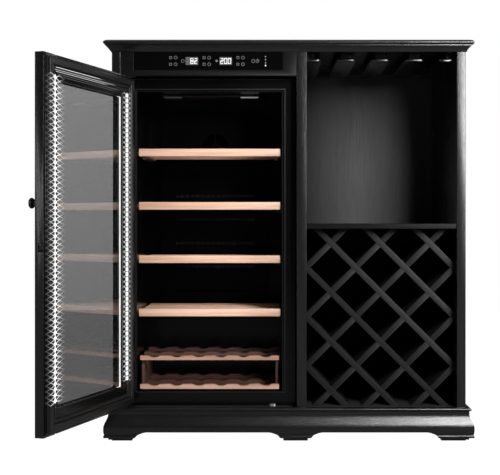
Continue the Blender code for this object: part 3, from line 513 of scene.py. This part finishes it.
def painted_hinge_glow(name, strength):
    """A spacer bar with painted light: pale and glowing along the hinge side of the door only."""
    g = Graph(name)
    x, y, _ = closed_place(g)
    beside, facing = g.math("LESS_THAN", x, DOOR_LEFT + 0.100), g.math("LESS_THAN", y, SPACER_PAINTED_GLOW)
    side = g.math("MULTIPLY", beside, facing)
    g.set(Base_Color=g.ramp(side, [(0.0, (0.01, 0.01, 0.01)), (1.0, (0.7, 0.7, 0.7))]), Roughness=0.4)
    return g.light(g.math("MULTIPLY", uneven(g, strength, 500.0), side)).material


def smoked_glass(name, tint_low, tint_high, gain=0.0):
    """Grey glazing, a level of tint at its foot and at its head, with faint marks in its gloss."""
    g = Graph(name)
    level = g.fit(g.axes()[2], 0.2, 1.15)
    g.set(Base_Color=g.ramp(level, [(0.0, (tint_low,) * 3), (1.0, (tint_high,) * 3)]))
    g.set(Transmission_Weight=1.0, IOR=1.30, Roughness=g.fit(g.noise(g.place(), 14.0, 3.0), high=0.03))
    # Painted light: the strips' star light laid on the glass as emission.
    if gain:
        g.light(painted_star_light(g, gain))
    return g.material


UP, DOWN = math.radians(45), math.radians(-45)
MATT = {"coat": 0.0, "shine": 0.22}
DULL = {"coat": 0.0, "shine": 0.10}
M = {
    "oak_up": black_oak("oak_up", "Z"),
    "oak_across": black_oak("oak_across", "X"),
    "oak_deep": black_oak("oak_deep", "Y"),
    "oak_rail": black_oak("oak_rail", "Y", dark=0.002, light=0.004, rough=(0.14, 0.20), coat=0.6),
    "oak_rising": black_oak("oak_rising", "X", turn_y=UP, light=0.011, rough=(0.46, 0.55), **MATT),
    "oak_falling": black_oak("oak_falling", "X", turn_y=DOWN, light=0.012, rough=(0.46, 0.55), **MATT),
    "oak_inner": black_oak("oak_inner", "X", dark=0.002, light=0.0068, rough=(0.34, 0.44), **DULL),
    "oak_door_up": black_oak("oak_door_up", "Z", turn_z=DOOR_OPEN),
    "oak_door_across": black_oak("oak_door_across", "X", turn_z=DOOR_OPEN),
    # The back board gets painted shade, darker towards the niche's left.
    "oak_back": black_oak("oak_back", "Z", dark=0.056, light=0.078, rough=(0.40, 0.48),
                          painted_shade=(0.09, 0.27, 0.22), **DULL),
    "board": black_oak("board", "X", dark=0.010, light=0.016, rough=(0.55, 0.7)),
    # Shelves: painted shade at both ends.
    "beech_lit": beech("beech_lit", dark=(0.66, 0.37, 0.25), light=(0.90, 0.60, 0.45), painted_shade=(0.84, 0.70)),
    "beech_crate": beech("beech_crate", dark=(0.36, 0.185, 0.130), light=(0.60, 0.36, 0.275)),
    # A dark copy of beech that stands for shade on the crate's hidden parts.
    "beech_painted_shade": beech("beech_painted_shade", dark=(0.055, 0.020, 0.014), light=(0.10, 0.045, 0.034)),
    "liner": moulded("liner", (0.0015, 0.0015, 0.0016), 0.20, gloss=0.22),
    "duct": moulded("duct", (0.0007, 0.0007, 0.0008), 0.30, gloss=0.1),
    "trim": moulded("trim", (0.006, 0.006, 0.006), 0.45, gloss=0.2),
    "case": moulded("case", (0.09, 0.09, 0.10), 0.5, grit=500.0),
    "fascia": moulded("fascia", (0.0012, 0.0012, 0.0013), 0.08, grit=60.0, strength=0.01, coat=0.2),
    "door_liner": lit_black("door_liner", 0.002, 0.20, 1.0, strip_reflections=True),
    "gasket": lit_black("gasket", 0.003, 0.40, 0.8, strip_reflections=True, edge=True),
    "enamel": moulded("enamel", (0.012, 0.012, 0.012), 0.30, grit=300.0, coat=0.4),
    "knob": moulded("knob", (0.010, 0.010, 0.010), 0.28, grit=400.0, coat=0.3),
    "steel": metal("steel", (0.62, 0.62, 0.63), 0.28, "X"),
    "hinge_black": metal("hinge_black", (0.05, 0.05, 0.052), 0.42),
    "dark_steel": metal("dark_steel", (0.035, 0.035, 0.038), 0.45),
    "fins": metal("fins", (0.16, 0.16, 0.17), 0.40, "Z"),
    "spacer": painted_hinge_glow("spacer", 1.5),
    "strip": lit_black("strip", 0.004, 0.35, 1.0),
    "led": glow("led", (0.97, 0.98, 1.0), 6.0),
    "lamp": glow("lamp", (0.9, 0.95, 1.0), 0.22, base=0.1),
    "lamp_dim": glow("lamp_dim", (0.9, 0.95, 1.0), 0.03, base=0.02),
    "lamp_bar": moulded("lamp_bar", (0.003, 0.003, 0.003), 0.35),
    "icon": glow("icon", (0.80, 0.84, 0.88), 0.22, base=0.1),
    "digit": glow("digit", (0.95, 0.97, 1.0), 0.66),
    "digit_off": glow("digit_off", (0.5, 0.5, 0.5), 0.09, base=0.02),
    "window": glow("window", (1.0, 1.0, 1.0), 0.10, base=0.02),
    "orange": glow("orange", (1.0, 0.35, 0.12), 0.9),
    "glass_outer": smoked_glass("glass_outer", 0.22, 0.33),
    "glass_inner": smoked_glass("glass_inner", 0.80, 0.82, gain=0.6),
}

NODE_LOOKS = {
    "oak_back": ["back_panel"],
    "board": ["deck_panel", "centre_bearer"],
    "liner": ["fridge_liner", "fan_rotor"],
    "duct": ["duct_panel"],
    "case": ["fridge_case"],
    "fascia": ["control_panel"],
    "door_liner": ["door_liner"],
    "glass_outer": ["glass_outer"],
    "glass_inner": ["glass_inner"],
    "spacer": ["glass_spacer"],
    "strip": ["led_strip_hinge", "led_strip_free"],
    "hinge_black": ["hinge_top", "hinge_bottom"],
    "dark_steel": ["lock_bolt"],
    "fins": ["evaporator"],
}


def refined(node, look, width):
    """A wooden board that stands for its CAD node, with every edge rounded over."""
    bm = bmesh.new()
    bm.from_mesh(NODES[node].data)
    bmesh.ops.remove_doubles(bm, verts=bm.verts, dist=1e-5)
    bmesh.ops.dissolve_limit(bm, angle_limit=math.radians(0.5), verts=bm.verts, edges=bm.edges)
    mesh = as_mesh(node + "_blank", bm)
    mesh.shade_smooth()
    blank = linked(mesh.name, mesh)
    rounding = blank.modifiers.new("rounding", "BEVEL")
    rounding.width = width
    rounding.segments = 3
    rounding.limit_method = "ANGLE"
    rounding.angle_limit = math.radians(30)
    rounding.harden_normals = True
    body = next(b for b, names in frame["record"]["behaviour"]["bodies"].items() if node in names)
    board = piece(node + "_board", applied(blank), M[look], body, sharp=None, lift=0.0)
    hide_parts(node)


WOOD = {
    "oak_up": (0.0014, ["side_panel_left", "side_panel_right", "centre_divider"]),
    "oak_inner": (0.0014, ["bay_shelf", "header_rail"]),
    "oak_rail": (0.0026, [f"glass_rail_{i}" for i in range(1, 6)]),
    "oak_rising": (0.0012, [f"lattice_rising_{i}" for i in range(1, 7)]),
    "oak_falling": (0.0012, [f"lattice_falling_{i}" for i in range(1, 7)]),
    "oak_door_up": (0.0016, ["door_stile_hinge", "door_stile_free"]),
    "oak_door_across": (0.0016, ["door_rail_top", "door_rail_bottom"]),
}


def make_boards():
    for look, (width, nodes) in WOOD.items():
        for node in nodes:
            refined(node, look, width)


def dress_nodes():
    for look, names in NODE_LOOKS.items():
        for name in names:
            mesh = NODES[name].data
            mesh.materials.clear()
            mesh.materials.append(M[look])


# ---- cabinet ----
def round_body(out, z):
    """Points at a height round the left, front and right of the body, at a distance out from it."""
    x, y = HALF + out, FRONT - out
    return [(-x, BACK, z), (-x, y, z), (x, y, z), (x, BACK, z)]


def make_top():
    """The top with its thumbnail edge as one smooth board, and the cove moulding under it."""
    drop, flat, inward = 0.011, 0.001, 0.0065
    under = HEIGHT - TOP_SLAB
    edge = []
    for a in range(0, 91, 6):
        t = math.radians(a)
        edge.append((flat + (NOSE - flat) * math.sin(t), HEIGHT - drop + drop * math.cos(t)))
    for a in range(9, 91, 9):
        t = math.radians(a)
        edge.append((NOSE - inward * (1 - math.cos(t)), HEIGHT - drop - (TOP_SLAB - drop) * math.sin(t)))
    bm = bmesh.new()
    loops = []
    for out, z in edge + [(-0.0005, under), (-0.0005, BODY_TOP)]:
        loops.append([bm.verts.new(p) for p in round_body(out, z)])
    skin(bm, loops)
    bm.faces.new(loops[0])
    bm.faces.new(loops[-1])
    made = piece("top_board", bm, M["oak_across"], "cabinet")
    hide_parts("top_panel")

    high, low = under - GAP, BODY_TOP - 0.003
    section = [(GAP, high), (0.0185, high), (0.0185, high - 0.0025)]
    for i in range(13):
        t = i / 12
        section.append((0.0038 + 0.0132 * (1 - t) ** 1.45, high - 0.0035 - 0.0172 * t))
    section += [(0.0028, low), (GAP, low)]
    bm = bmesh.new()
    add_run(bm, [round_body(out, z) for out, z in section])
    made = piece("crown_cove", bm, M["oak_across"], "cabinet")
    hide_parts("crown_moulding")


def plinth_section():
    """The plinth's closed (projection, height) section, with a smooth bead and ogee."""
    bead_mid, neck, ogee_top, ogee_deep, lip_mid = 0.1000, 0.0105, 0.0850, 0.0470, 0.0100
    bead = [(0.003, BEAD_TOP)]
    for a in range(80, -81, -10):
        t = math.radians(a)
        middle, reach, tall = (0.0045, 0.0127, 0.0070) if a > 0 else (0.0125, 0.0047, 0.0045)
        bead.append((middle + reach * math.cos(t), bead_mid + tall * math.sin(t)))
    fillet = [(0.0112, 0.0945), (neck, 0.0925), (neck, ogee_top)]
    ogee = []
    for i in range(1, 17):
        fall = 0.5 - 0.5 * math.cos(math.pi * i / 16)
        ogee.append((neck + 0.0150 * fall, ogee_top - ogee_deep * i / 16))
    face = [(0.0255, 0.0300), (0.0250, 0.0240), (0.0240, 0.0195), (0.0225, 0.0165)]
    lip = []
    for a in range(90, -91, -15):
        t = math.radians(a)
        lip.append((0.0225 + 0.0030 * math.cos(t), lip_mid + 0.0050 * math.sin(t)))
    pad = [(0.0120, FOOT_HIGH), (0.0120, -LIFT)]
    inner = [(-0.022, -LIFT), (-0.022, 0.0847), (GAP, 0.0847), (GAP, BEAD_TOP)]
    return inner + bead + fillet + ogee + face + lip + pad


def gap_cutter(left, right, axis, start, end):
    """The space between two bracket feet, with smooth S-curved ends."""
    up = [(left - 0.0105, -0.02), (left - 0.0105, FOOT_HIGH), (left, FOOT_HIGH), (left + 0.002, 0.008)]
    for i in range(17):
        t = i / 16
        up.append((left + 0.0085 + 0.0335 * t, 0.0150 + 0.0099 * math.sin(math.pi / 2 * t)))
    outline = up + [(left + right - a, b) for a, b in reversed(up)]
    bm = bmesh.new()
    add_prism(bm, outline, start, end, axis)
    return bm


def box_cutter(low, high):
    bm = bmesh.new()
    add_box(bm, low, high)
    return bm


def make_plinth():
    """The three moulded plinth boards with their feet."""
    section = plinth_section()
    bm = bmesh.new()
    add_run(bm, [[(side * (HALF + out - GAP), FRONT - out, z) for side in (-1, 1)] for out, z in section])
    y0, y1 = FRONT - 0.06, FRONT + 0.06
    cutters = [gap_cutter(left, right, "Y", y0, y1) for left, right in FRONT_GAPS]
    for x0, x1 in ((-0.662, -0.600), (0.600, 0.662)):
        cutters.append(box_cutter((x0, y0, -0.02), (x1, y1, FOOT_HIGH)))
    mesh = carved("plinth_front_mesh", bm, cutters)
    front = piece("plinth_board_front", mesh, M["oak_across"], "cabinet", 30)
    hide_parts("plinth_front")
    for side, sign in (("left", -1), ("right", 1)):
        bm = bmesh.new()
        add_run(bm, [[(sign * (HALF + out), y, z) for y in (FRONT - out + GAP, BACK)] for out, z in section])
        x0, x1 = sorted((sign * (HALF - 0.06), sign * (HALF + 0.06)))
        cutters = [gap_cutter(*SIDE_GAP, "X", x0, x1)]
        for y0, y1 in ((-0.36, -0.297), (0.285, 0.36)):
            cutters.append(box_cutter((x0, y0, -0.02), (x1, y1, FOOT_HIGH)))
        mesh = carved(f"plinth_{side}_mesh", bm, cutters)
        made = piece(f"plinth_board_{side}", mesh, M["oak_deep"], "cabinet", 30)
        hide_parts(f"plinth_{side}")


# ---- control panel ----
SEGMENTS = {" ": "", "0": "abcdef", "2": "abdeg", "8": "abcdefg"}


def add_flat(bm, outline, y):
    add_prism(bm, outline, y - 0.0002, y)


def add_bar(bm, x0, z0, x1, z1, y):
    """Adds a thin flat rectangle."""
    add_flat(bm, [(x0, z0), (x1, z0), (x1, z1), (x0, z1)], y)


def add_band(bm, centre, radius, width, y, start=0.0, end=360.0):
    """Adds a thin flat ring or part of one."""
    steps = 28
    whole = abs(end - start) >= 360
    outer = arc(centre, radius, start, end, steps)
    inner = arc(centre, radius - width, start, end, steps)
    front, back = y - 0.0002, y
    rows = []
    for i in range(steps if whole else steps + 1):
        around = ((outer[i], front), (inner[i], front), (inner[i], back), (outer[i], back))
        rows.append([bm.verts.new((p[0], d, p[1])) for p, d in around])
    skin(bm, rows, closed=whole)
    if not whole:
        bm.faces.new(rows[0])
        bm.faces.new(rows[-1])


def add_digit(bm_on, bm_off, digit, x, z, w, h, y):
    """Adds a seven-segment digit, its lit and unlit segments in separate meshes."""
    t = w * 0.15
    places = {
        "a": (x + t * 0.6, z + h - t, x + w - t * 0.6, z + h),
        "g": (x + t * 0.6, z + h / 2 - t * 0.8, x + w - t * 0.6, z + h / 2 + t * 0.8),
        "d": (x + t * 0.6, z, x + w - t * 0.6, z + t),
        "f": (x, z + h / 2 + t * 0.3, x + t, z + h - t * 0.3),
        "b": (x + w - t, z + h / 2 + t * 0.3, x + w, z + h - t * 0.3),
        "e": (x, z + t * 0.3, x + t, z + h / 2 - t * 0.3),
        "c": (x + w - t, z + t * 0.3, x + w, z + h / 2 - t * 0.3),
    }
    for key, corners in places.items():
        add_bar(bm_on if key in SEGMENTS[digit] else bm_off, *corners, y)


def make_controls():
    """Touch keys, two displays and indicator lamps on the fascia, set in plain generic symbols."""
    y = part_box("control_panel")[0].y - 0.0001
    icons, digits, unlit, windows, warm = (bmesh.new() for _ in range(5))
    middle, foot = 1.2838, 1.2744
    half, line = 0.0042, 0.0009
    for x in (-0.402, -0.288, -0.173):
        for z in (1.2952, 1.2726):
            x0, x1, z0, z1 = x - half, x + half, z - half, z + half
            add_bar(icons, x0, z0, x1, z0 + line, y)
            add_bar(icons, x0, z1 - line, x1, z1, y)
            add_bar(icons, x0, z0 + line, x0 + line, z1 - line, y)
            add_bar(icons, x1 - line, z0 + line, x1, z1 - line, y)
            add_band(icons, (x + 0.0172, z), 0.0055, line, y)
    add_band(icons, (-0.3604, middle), 0.0055, line, y)
    add_band(icons, (-0.1207, middle), 0.0060, line, y)
    add_band(icons, (-0.1064, middle), 0.0055, 0.0010, y, 125, 415)
    add_bar(icons, -0.1071, middle + 0.001, -0.1057, middle + 0.0078, y)
    centre = -0.2448
    for k in range(3):
        a = math.radians(60 * k + 30)
        dx, dz = 0.0052 * math.cos(a), 0.0052 * math.sin(a)
        nx, nz = -0.0006 * math.sin(a), 0.0006 * math.cos(a)
        arm = [(-dx - nx, -dz - nz), (dx - nx, dz - nz), (dx + nx, dz + nz), (-dx + nx, -dz + nz)]
        add_flat(icons, [(centre + u, middle + v) for u, v in arm], y - 0.00002 * k)
    wide, tall, side = 0.0100, 0.0185, 0.042
    gap = (side - 3 * wide) / 4
    proud = y - 0.00012
    for x0, shown in ((-0.3505, " 82"), (-0.2355, "200")):
        outline = [(x0, 1.2705), (x0 + side, 1.2705), (x0 + side, 1.2968), (x0, 1.2968)]
        add_prism(windows, outline, y - 0.0001, y + 0.00005)
        for i, digit in enumerate(shown):
            add_digit(digits, unlit, digit, x0 + gap + i * (wide + gap), foot, wide, tall, proud)
    add_bar(digits, -0.2074, foot, -0.2060, foot + 0.0014, proud)
    for bm, z in ((icons, 1.2984), (icons, 1.2882), (icons, 1.2776), (warm, 1.2685)):
        add_flat(bm, arc((-0.0789, z), 0.0021, 0, 345, 23), y)
    for name, bm, look in (
        ("panel_symbols", icons, "icon"),
        ("display_windows", windows, "window"),
        ("display_digits", digits, "digit"),
        ("display_unlit", unlit, "digit_off"),
        ("panel_lamp", warm, "orange"),
    ):
        piece(name, bm, M[look], "cabinet")


# ---- cooler inside ----
def make_shelves():
    """Beech shelves with rounded front strips, side bearers and slats."""
    for i in range(1, 5):
        low, high = box(f"shelf_{i}")
        bm = bmesh.new()
        add_box(bm, low, (high.x, low.y + 0.020, high.z), 0.0022, 3)
        for a, b in ((low.x + 0.001, low.x + 0.021), (high.x - 0.021, high.x - 0.001)):
            add_box(bm, (a, low.y + 0.019, low.z + 0.004), (b, high.y, high.z - 0.014), 0.001)
        left, right = low.x + 0.003, high.x - 0.003
        for k in range(5):
            y = low.y + 0.050 + k * 0.068
            add_box(bm, (left, y, high.z - 0.018), (right, y + 0.034, high.z - 0.007), 0.0018)
        made = piece(f"beech_shelf_{i}", bm, M["beech_lit"], f"shelf_{i}_body")
        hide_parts(f"shelf_{i}")


def make_ceiling_lamps():
    """The black lamp bar in the cavity's ceiling, its two lenses and the hoods behind them."""
    low, high = box("ceiling_lamp")
    plate = high.z - 0.006
    top = plate + 0.001
    bm = bmesh.new()
    add_box(bm, (low.x, low.y, plate), (high.x, high.y, high.z), 0.0012, 3)
    bar = piece("lamp_bar", bm, M["lamp_bar"], "cabinet")
    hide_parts("ceiling_lamp")
    for side, sign, look in (("left", -1, "lamp_dim"), ("right", 1, "lamp")):
        x = COOLER_MID + sign * 0.1355
        x0, x1 = x - 0.031, x + 0.031
        bm = bmesh.new()
        add_box(bm, (x0, low.y + 0.007, low.z + 0.0002), (x1, low.y + 0.014, top), 0.0012, 3)
        piece(f"lamp_lens_{side}", bm, M[look], "cabinet")
        bm = bmesh.new()
        add_box(bm, (x0, low.y + 0.0145, low.z), (x1, high.y - 0.007, top), 0.0018, 3)
        piece(f"lamp_hood_{side}", bm, M["lamp_bar"], "cabinet")


def cradle(x0, x1, low, high):
    """A board's outline with a smooth cradle for each of six bottles."""
    outline = [(x1, high), (x1, low), (x0, low), (x0, high)]
    radius, dip, pitch = 0.040, 0.006, 0.0775
    spread = math.degrees(math.acos((radius - dip) / radius))
    for i in range(6):
        x = (x0 + x1) / 2 + (i - 2.5) * pitch
        outline += arc((x, high + radius - dip), radius, 270 - spread, 270 + spread, 14)
    return outline


def make_crate():
    """The two-tier beech crate: cradled boards front, middle and back, its foot and its sides, all but the front
    boards in a dark beech painted as shade.
    """
    low, high = box("bottle_crate")
    x0, x1, y0, y1 = low.x, high.x, low.y, high.y
    middle = (y0 + y1) / 2
    for k, (front, back) in enumerate(((y0, y0 + 0.022), (middle - 0.02, middle + 0.02), (y1 - 0.03, y1))):
        bm = bmesh.new()
        add_prism(bm, cradle(x0, x1, 0.1590, 0.1745), front, back)
        add_prism(bm, cradle(x0, x1, 0.2587, 0.2730), front, back)
        if k == 0:
            made = piece("beech_crate", bm, M["beech_crate"], "cabinet")
            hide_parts("bottle_crate")
        else:
            # Middle and back boards: painted shade.
            made = piece(f"crate_strips_{k}", bm, M["beech_painted_shade"], "cabinet")
    bm = bmesh.new()
    add_box(bm, (x0 + 0.006, y0 + 0.024, low.z), (x1 - 0.006, y1 - 0.006, low.z + 0.008), 0.0008)
    for a, b in ((x0 + 0.003, x0 + 0.012), (x1 - 0.012, x1 - 0.003)):
        add_box(bm, (a, y0 + 0.020, low.z + 0.004), (b, y1 - 0.002, 0.2625), 0.001)
    # Foot and sides: painted shade.
    piece("crate_sides", bm, M["beech_painted_shade"], "cabinet")


def make_opening_trims():
    """Two thin raised beads round the cooler's opening."""
    flange = box("fridge_liner")[0].y
    for name, x0, x1, z0, z1, wide, proud in (
        ("opening_bead_outer", -0.5290, -0.0105, 0.1475, 1.1950, 0.0045, 0.0007),
        ("opening_bead_inner", -0.5238, -0.0207, 0.1518, 1.1856, 0.0018, 0.0005),
    ):
        profile = [(0.0, flange), (0.0004, flange - proud * 0.7), (wide * 0.3, flange - proud)]
        profile += [(wide * 0.7, flange - proud), (wide - 0.0004, flange - proud * 0.7), (wide, flange)]
        bm = bmesh.new()
        add_ring(bm, profile, x0, x1, z0, z1)
        piece(name, bm, M["trim"], "cabinet")


def make_sill_catch():
    """The small bright catch on the sill in front of the cooler."""
    bm = bmesh.new()
    y, foot = -0.2556, DECK_TOP + 0.0004
    add_box(bm, (-0.066, y - 0.010, foot), (-0.046, y + 0.0015, DECK_TOP + 0.0020), 0.0005)
    add_box(bm, (-0.066, y - 0.0005, foot), (-0.046, y + 0.0015, DECK_TOP + 0.0075), 0.0005)
    rivet = [(0.0026, DECK_TOP + 0.002), (0.0026, DECK_TOP + 0.0032), (0.0, DECK_TOP + 0.0038)]
    for x in (-0.061, -0.051):
        add_turned(bm, rivet, (x, y - 0.006, 0), "Z", 16)
    piece("sill_catch", bm, M["steel"], "cabinet")


def make_machinery():
    """The compressor's shell and the condenser coil, as round work."""
    low, high = box("compressor")
    centre = Vector((COOLER_MID + 0.09, (low.y + high.y) / 2, low.z + 0.008))
    bm = bmesh.new()
    can = [(0.045, -0.002), (0.045, 0.006), (0.056, 0.009), (0.062, 0.014), (0.0652, 0.022), (0.066, 0.030)]
    can += [(0.066, 0.095), (0.068, 0.0965), (0.071, 0.098), (0.071, 0.107), (0.0685, 0.1085), (0.066, 0.110)]
    can += [(0.0650, 0.126), (0.062, 0.140), (0.056, 0.151), (0.048, 0.160), (0.037, 0.166), (0.024, 0.170)]
    add_turned(bm, can + [(0.0, 0.172)], centre, "Z", 64)
    add_box(bm, low, (high.x, high.y, low.z + 0.0078), 0.001)
    stud = [(0.010, 0.0), (0.010, 0.006), (0.006, 0.008), (0.006, 0.012), (0.0, 0.013)]
    for dx in (-0.055, 0.055):
        for dy in (-0.045, 0.045):
            add_turned(bm, stud, centre + Vector((dx, dy, -0.0005)), "Z", 24)
    terminals = Vector((-0.105, -0.030, 0.040)), Vector((-0.060, 0.030, 0.095))
    add_box(bm, centre + terminals[0], centre + terminals[1], 0.004, 3)
    made = piece("compressor_shell", bm, M["enamel"], "cabinet")
    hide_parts("compressor")

    low, high = box("condenser")
    y = (low.y + high.y) / 2
    runs, r, wires = 12, 0.0024, 15
    pitch = (high.z - low.z - 2 * r) / (runs - 1)
    bend = pitch / 2
    left, right = low.x + r + bend, high.x - r - bend
    path = []
    for i in range(runs):
        z = low.z + r + i * pitch
        ends = (left, right) if i % 2 == 0 else (right, left)
        path += [(ends[0], y, z), (ends[1], y, z)]
        if i + 1 < runs:
            start, end = (-90, 90) if i % 2 == 0 else (270, 90)
            turn = arc((ends[1], z + bend), bend, start, end, 10)[1:-1]
            path += [(a, y, b) for a, b in turn]
    bm = bmesh.new()
    add_tube(bm, path, r)
    for k in range(wires):
        x = low.x + 0.050 + k * (high.x - low.x - 0.100) / (wires - 1)
        add_tube(bm, [(x, y - 0.0022, low.z + 0.010), (x, y - 0.0022, high.z - 0.010)], 0.0008, 6)
    made = piece("condenser_coil", bm, M["enamel"], "cabinet")
    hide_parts("condenser")


# ---- door ----
def make_gasket():
    """The magnetic gasket: a flat base, a bellows and a soft magnet bead, mitred at the corners."""
    low = LINER_FACE + GAP
    u0, u1, tall, round_off = 0.011, 0.047, 0.0118, 0.0042
    profile = [(u0 + 0.0005, low), (u0, low + 0.0010), (u0 + 0.0018, low + 0.0040)]
    profile += arc((u0 + 0.0060, low + tall - round_off), round_off, 180, 90, 5)
    profile += arc((u0 + 0.0190, low + tall - round_off), round_off, 90, 0, 5)
    profile += [(u0 + 0.0225, low + 0.0050), (u0 + 0.0240, low + 0.0034)]
    profile += arc((u0 + 0.0285, low + 0.0056), 0.0030, 180, 0, 8)
    profile += [(u0 + 0.0322, low + 0.0030), (u0 + 0.0345, low + 0.0022), (u1, low + 0.0014), (u1, low)]
    bm = bmesh.new()
    add_ring(bm, profile, DOOR_LEFT, DOOR_RIGHT, DOOR_BOTTOM, DOOR_TOP)
    made = swung_piece("bellows_gasket", bm, M["gasket"], "door", 40)
    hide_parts("door_gasket")


def make_lamps_on_door():
    """The light chips on the two strips."""
    half = 0.0016
    for side, x in STRIPS:
        bm = bmesh.new()
        for i in range(LED_COUNT):
            z = LED_LOW + i * LED_PITCH
            low = (x - half, STRIP_FACE - 0.0002, z - half)
            add_box(bm, low, (x + half, STRIP_FACE + 0.0012, z + half), 0.0003, 1)
        swung_piece(f"light_chips_{side}", bm, M["led"], "door")


def make_knob_and_lock():
    """The turned knob and the key cylinder with its keyway."""
    at = Vector((DOOR_RIGHT - 0.027, FRONT, 0.791))
    profile = [(0.004, -0.018), (0.004, 0.0003), (0.0105, 0.0003), (0.0107, 0.0012), (0.0102, 0.0028)]
    profile += [(0.0080, 0.0046), (0.0066, 0.0070), (0.0061, 0.0100), (0.0063, 0.0130), (0.0078, 0.0155)]
    profile += [(0.0104, 0.0174), (0.0132, 0.0188), (0.0152, 0.0208), (0.0160, 0.0229), (0.0161, 0.0245)]
    profile += [(0.0157, 0.0260), (0.0143, 0.0274), (0.0118, 0.0284), (0.0085, 0.0289), (0.0045, 0.0291)]
    bm = bmesh.new()
    add_turned(bm, profile + [(0.0, 0.0292)], at, "Y", 64)
    made = swung_piece("turned_knob", bm, M["knob"], "door")
    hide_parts("door_knob")

    lock = Vector((DOOR_RIGHT - 0.025, FRONT, 0.662))
    profile = [(0.0105, -0.016), (0.0105, 0.0004), (0.0130, 0.0004)]
    profile += [(0.0130, 0.0016), (0.0125, 0.0024), (0.0112, 0.0030)]
    bm = bmesh.new()
    add_turned(bm, profile, lock, "Y", 48)
    keyway = box_cutter((lock.x - 0.0011, FRONT - 0.006, 0.6575), (lock.x + 0.0011, FRONT + 0.003, 0.6665))
    made = swung_piece("key_cylinder", carved("cylinder_mesh", bm, [keyway]), M["steel"], "lock")
    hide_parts("lock_cylinder")


def make_door_fittings():
    """The lock's face plate on the free edge, and the lead below each light strip."""
    bm = bmesh.new()
    low, high = (DOOR_RIGHT - 0.0008, -0.2880, 0.6485), (DOOR_RIGHT + 0.0002, -0.2711, 0.6755)
    add_box(bm, low, high, 0.0003)
    hole = box_cutter((DOOR_RIGHT - 0.004, -0.2837, 0.6554), (DOOR_RIGHT + 0.004, -0.2719, 0.6686))
    plate = swung_piece("lock_face_plate", carved("plate_mesh", bm, [hole]), M["liner"], "door")
    for side, x in STRIPS:
        path = []
        for i in range(13):
            t = i / 12
            sway = 0.0030 * math.sin(math.pi * t)
            path.append((x + sway, LINER_FACE + 0.0030 + 0.8 * sway, 0.2040 - 0.0430 * t))
        bm = bmesh.new()
        add_tube(bm, path, 0.0018, 12)
        swung_piece(f"strip_lead_{side}", bm, M["knob"], "door")


def add_screw(bm, centre):
    """Adds a domed screw head that faces the front."""
    r, rise = 0.0038, 0.0012
    profile = [(r, -0.0004), (r, rise * 0.25), (r * 0.8, rise * 0.75), (r * 0.4, rise), (0.0, rise)]
    add_turned(bm, profile, centre, "Y", 20)


def make_back_screws():
    """Screws that hold the back board along its edges, set out from the front and turned round."""
    low, high = box("back_panel")
    spin = Matrix.Rotation(math.radians(180), 4, "Z")
    bm = bmesh.new()
    for i in range(9):
        x = low.x + 0.012 + i * (high.x - low.x - 0.024) / 8
        for z in (low.z + 0.010, high.z - 0.010):
            add_screw(bm, (-x, -high.y, z))
    for i in range(1, 9):
        z = low.z + 0.010 + i * (high.z - low.z - 0.020) / 9
        for x in (low.x + 0.012, high.x - 0.012):
            add_screw(bm, (-x, -high.y, z))
    bmesh.ops.transform(bm, matrix=spin, verts=bm.verts)
    piece("back_screws", bm, M["dark_steel"], "cabinet")


# ---- light and camera ----
def area_light(name, place, aim, size, power):
    data = bpy.data.lights.new(name, "AREA")
    data.shape = "RECTANGLE"
    data.size, data.size_y = size
    data.energy = power
    obj = linked(name, data)
    obj.location = place
    obj.rotation_euler = (Vector(aim) - Vector(place)).to_track_quat("-Z", "Y").to_euler()
    obj.visible_transmission = False


def make_world():
    """A white surround to look at, and a dim one to be lit by."""
    world = bpy.data.worlds.new("studio")
    bpy.context.scene.world = world
    world.use_nodes = True
    nodes, links = world.node_tree.nodes, world.node_tree.links
    nodes.clear()
    mix = nodes.new("ShaderNodeMixShader")
    for socket, strength in ((1, 0.022), (2, 1.0)):
        surround = nodes.new("ShaderNodeBackground")
        surround.inputs["Color"].default_value = (1.0, 1.0, 1.0, 1.0)
        surround.inputs["Strength"].default_value = strength
        links.new(surround.outputs[0], mix.inputs[socket])
    rays = nodes.new("ShaderNodeLightPath")
    direct = nodes.new("ShaderNodeMath")
    direct.operation = "MAXIMUM"
    links.new(rays.outputs["Is Camera Ray"], direct.inputs[0])
    links.new(rays.outputs["Is Transmission Ray"], direct.inputs[1])
    links.new(direct.outputs[0], mix.inputs["Fac"])
    output = nodes.new("ShaderNodeOutputWorld")
    links.new(mix.outputs[0], output.inputs["Surface"])


def make_studio():
    """A pale floor, soft lights and the camera."""
    g = Graph("studio_floor")
    rays = g.add("LightPath")
    through = g.math("MULTIPLY", rays.outputs["Is Transmission Ray"], 0.66)
    level = g.math("MAXIMUM", rays.outputs["Is Camera Ray"], g.math("MAXIMUM", through, 0.16))
    g.set(Base_Color=(0.10, 0.10, 0.10, 1.0), Roughness=0.9, Specular_IOR_Level=0.0).light(level)
    bm = bmesh.new()
    bm.faces.new([bm.verts.new(c) for c in ((-14, -12, 0), (14, -12, 0), (14, 5.1, 0), (-14, 5.1, 0))])
    mesh = bpy.data.meshes.new("floor")
    bm.to_mesh(mesh)
    bm.free()
    floor = linked("floor", mesh)
    floor.location.z = -0.0005
    mesh.materials.append(g.material)

    for lamp in LAMPS:
        area_light(*lamp)

    data = bpy.data.cameras.new("camera")
    data.lens = 77.4
    data.sensor_width = 36.0
    data.shift_x = -0.0435
    data.shift_y = -0.031
    camera = linked("camera", data)
    camera.location = (-0.0578, -3.956, 0.741)
    camera.rotation_euler = (math.radians(90), 0, 0)
    bpy.context.scene.camera = camera
    bpy.context.scene.view_settings.view_transform = "Standard"


dress_nodes()
make_boards()
make_top()
make_plinth()
make_controls()
make_ceiling_lamps()
make_shelves()
make_crate()
make_opening_trims()
make_sill_catch()
make_machinery()
make_gasket()
make_lamps_on_door()
make_knob_and_lock()
make_door_fittings()
make_back_screws()
make_world()
make_studio()
